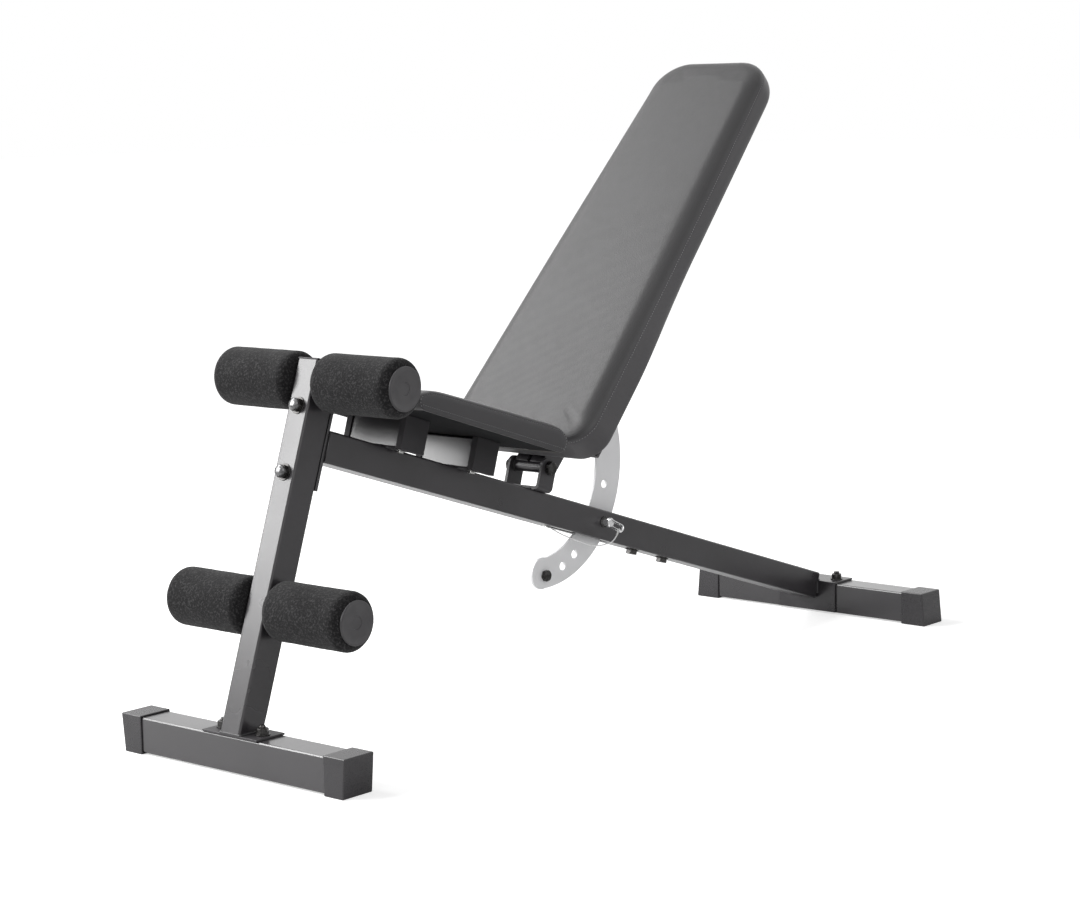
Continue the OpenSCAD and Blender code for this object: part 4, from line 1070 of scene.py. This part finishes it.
# The section along the tube: its crowned top, its rear end, its underside and its front end.
run = [-86 + 5.0 * k for k in range(57)]
crown = [(s, seat_top(s) - max(0.0, (s - ROLL_FROM) / ROLL) ** 2 * 1.9
          - max(0.0, (ROLL_TO - s) / ROLL) ** 2 * 1.6) for s in run]
section = crown + seat_end(1) + [(s, SEAT_LOW) for s in reversed(run)] + seat_end(-1)
# Its rings: how far out each is, and how far it has run in over the side panel.
SEAM_IN, TOP_IN = 0.15, 0.12  # at the seam, and where the ribs stop
half_levels = [(5.0 * k, 0.0) for k in range(1, 26)] + [
    (129.5, 0.0), (133.0, 0.004), (136.0, 0.02), (138.2, 0.055), (139.4, 0.10), (139.6, 0.132),
    (138.6, SEAM_IN), (139.5, 0.168), (140.1, 0.23)] + [
    (SEAT_SIDE_Y, t) for t in (0.42, 0.62, 0.82, 1.0)]
levels = [(-y, t) for y, t in reversed(half_levels)] + [(0.0, 0.0)] + half_levels


def seat_ring(y, t):
    """The section at y, run in by t towards the middle of the underside."""
    points = []
    for s, n in section:
        a = s + (min(max(s, run[0]), run[-1]) - s) * t
        swell = max(0.0, 1 - (y / 139) ** 2) * SEAT_BULGE
        a += swell * min(max((a - 90) / 127, 0.0), 1.0) ** 2
        points.append(on_tube(a, y, n + (SEAT_LOW - n) * t))
    return points


rings = [seat_ring(y, t) for y, t in levels]
to_tube = TUBE.inverted()


def seat_face(r, p):
    """1 on the ribbed top and ends of the seat, 0 on its side panels and underside."""
    on_top = min(max(((to_tube @ p * 1000).z - 52) / 8, 0.0), 1.0)
    return on_top if levels[r][1] < TOP_IN else 0.0


seat_mesh = loop_mesh("seat_cushion", rings, seat_face)
for polygon in seat_mesh.polygons:
    here = to_tube @ polygon.center * 1000
    polygon.material_index = int(
        here.z < SEAT_LOW + 0.3 and abs(here.y) < SEAT_CLOTH_Y
        and SEAT_CLOTH_FROM < here.x < SEAT_CLOTH_TO)
SEAT_VINYL = vinyl("seat_vinyl", TUBE, (0.029, 0.0275, 0.030), (0.033, 0.0315, 0.034), 1.0)
seat_seams = [k for k, (y, t) in enumerate(levels) if t == SEAM_IN]
cushion("seat_cushion", "seat_pad", seat_mesh, SEAT_VINYL, seat_seams, TUBE, SEAT_LOW, 0.0024, 2.2)
# The seam's stitches start at the front of the underside; the hem's run straight.
above = [k for k, (s, n) in enumerate(section) if n > SEAT_LOW + 4]
above.sort(key=lambda k: k < 2 * len(crown))
for seam, (side_name, side) in zip(seat_seams, SIDES):
    line = [rings[seam][k] + Vector((0, side * 0.0008, 0)) for k in above]
    stitch_row(f"seat_{side_name}_stitches", line, STITCH_PITCH, THREAD, "frame_body")
    hem = [on_tube(s, side * (SEAT_SIDE_Y + 0.45), SEAT_LOW + 7) for s in range(-98, 210, 6)]
    stitch_row(f"seat_{side_name}_hem_stitches", hem, STITCH_PITCH, THREAD, "frame_body")
PLY = surface("plywood", {"grain": (3, 5, 0.6)},
              ("grain", (0.034, 0.031, 0.028), (0.060, 0.054, 0.047)), 0.7,
              ("grain", 0.0003, 0.4), part=CENTRE, stretch=(3, 60, 60))
finish_node("seat_board", PLY)

# ---- Back cushion ----
# A long tapering pad on a plywood board: a ribbed grey vinyl face wraps over its rounded edge to a
# sewn seam, then a smooth side band runs round to the back, where it is stapled over black cloth.
BACK_LOW, BACK_TOP, BOARD_BACK = 8.0, 764.0, 17.55  # its ends, and the board's back face
LOW_HALF, TOP_HALF = 140.0, 109.0  # half its width below and above
CORNER, HEAD_CORNER, SIDE_BOW = 40.0, 60.0, 2.6
AXIS_FROM, AXIS_TO = 128.0, 662.0  # the middle line its rings run in to


def corner_arc(centre, r, turn_from, turn_to, count):
    """Points and inward directions round a corner."""
    turns = [turn_from + (turn_to - turn_from) * k / count for k in range(count + 1)]
    away = [Vector((math.cos(turn), math.sin(turn))) for turn in turns]
    return [(centre + r * a, -a) for a in away]


def half_outline(step):
    """Points and inward directions round half the pad, from its lower middle to its top middle."""
    low_c = Vector((BACK_LOW + CORNER, LOW_HALF - CORNER))
    top_c = Vector((BACK_TOP - HEAD_CORNER, TOP_HALF - HEAD_CORNER))
    lean = math.atan2(low_c.y + CORNER - top_c.y - HEAD_CORNER, top_c.x - low_c.x)
    square = math.pi / 2 - lean
    outwards = Vector((math.cos(square), math.sin(square)))
    points = [(Vector((BACK_LOW, low_c.y * k / 17)), Vector((1, 0))) for k in range(17)]
    points += corner_arc(low_c, CORNER, math.pi, square, 10)
    side_from, side_to = points[-1][0], top_c + HEAD_CORNER * outwards
    count = int((side_to - side_from).length / step)
    for k in range(1, count):
        bow = outwards * (SIDE_BOW * math.sin(math.pi * k / count))
        points.append((side_from.lerp(side_to, k / count) + bow, -outwards))
    points += corner_arc(top_c, HEAD_CORNER, square, 0.0, 15)
    return points + [(Vector((BACK_TOP, top_c.y * (1 - k / 8))), Vector((-1, 0)))
                     for k in range(1, 9)]


half = half_outline(6.2)
outline = half + [(Vector((p.x, -p.y)), Vector((d.x, -d.y))) for p, d in reversed(half[1:-1])]


def back_ring(cut_low, cut_top, h):
    """The outline h above the board's back, cut in by one amount below and another above."""
    points = []
    for p, inward in outline:
        t = min(max((p.x - 150) / 250, 0.0), 1.0)
        q = p + inward * (cut_low + (cut_top - cut_low) * t * t * (3 - 2 * t))
        points.append((q.x, q.y, BOARD_BACK + h))
    return points


def inner_rings(start, steps, rise=0.0):
    """Rings from a ring in to the pad's middle line, which lies higher by rise."""
    rings = []
    for t in [k / steps for k in range(1, steps + 1)]:
        rings.append([(x + (min(max(x, AXIS_FROM), AXIS_TO) - x) * t, y * (1 - t),
                       h + rise * t * (2 - t)) for x, y, h in start])
    return rings


under = back_ring(5.0, 21.0, 0.0)
under_cloth = inner_rings(under, 20)
shape = under_cloth[::-1] + [under] + [back_ring(*cuts) for cuts in (
    (2.4, 17.0, 0.2), (0.8, 13.0, 1.6), (0.2, 8.6, 4.6), (0.0, 4.6, 9.0), (0.0, 1.9, 14.5),
    (0.0, 0.4, 20.5), (0.0, 0.0, 26.5), (0.0, 0.0, 32.5), (0.0, 0.0, 37.5), (0.2, 0.2, 40.6))]
seam_at = len(shape)
shape += [back_ring(cut, cut, h) for cut, h in (
    (1.5, 42.3), (0.9, 43.8), (2.6, 47.4), (5.6, 50.6), (9.8, 53.2), (15.0, 55.0), (20.5, 55.9),
    (26.0, 56.15))]
shape += inner_rings(shape[-1], 15, 0.6)


def back_face(r, p):
    """1 on the ribbed face of the pad, 0 from its seam round to its back."""
    return min(max((r - seam_at) / 3.0, 0.0), 1.0)


back_mesh = loop_mesh("back_cushion", [[on_back(*p) for p in points] for points in shape],
                      back_face, cloth_rings=len(under_cloth) - 4)
# The back pad's side panels are painted 2.9 times as light as its plain vinyl, a painted sheen of grazing
# light.
BACK_VINYL = vinyl("back_vinyl", BACK, (0.0185, 0.0177, 0.0189), (0.0215, 0.0206, 0.0219), 2.9)
cushion("back_cushion", "back_pad", back_mesh, BACK_VINYL, [seam_at], BACK, BOARD_BACK, 0.0018, 1.6)
seam_line = [on_back(x - 0.9 * d.x, y - 0.9 * d.y, h)
             for (x, y, h), (q, d) in zip(shape[seam_at], outline)]
stitch_row("back_stitches", seam_line, STITCH_PITCH, THREAD, "backrest_body", closed=True)
staple_line = [on_back(x, y, BOARD_BACK - 0.15) for x, y, h in under_cloth[1]]
stitch_row("back_staples", staple_line, 0.028, ZINC, "backrest_body", (0.0110, 0.0009, 0.0007),
           closed=True)
finish_node("back_board", PLY)


bpy.context.scene.view_settings.view_transform = "Standard"
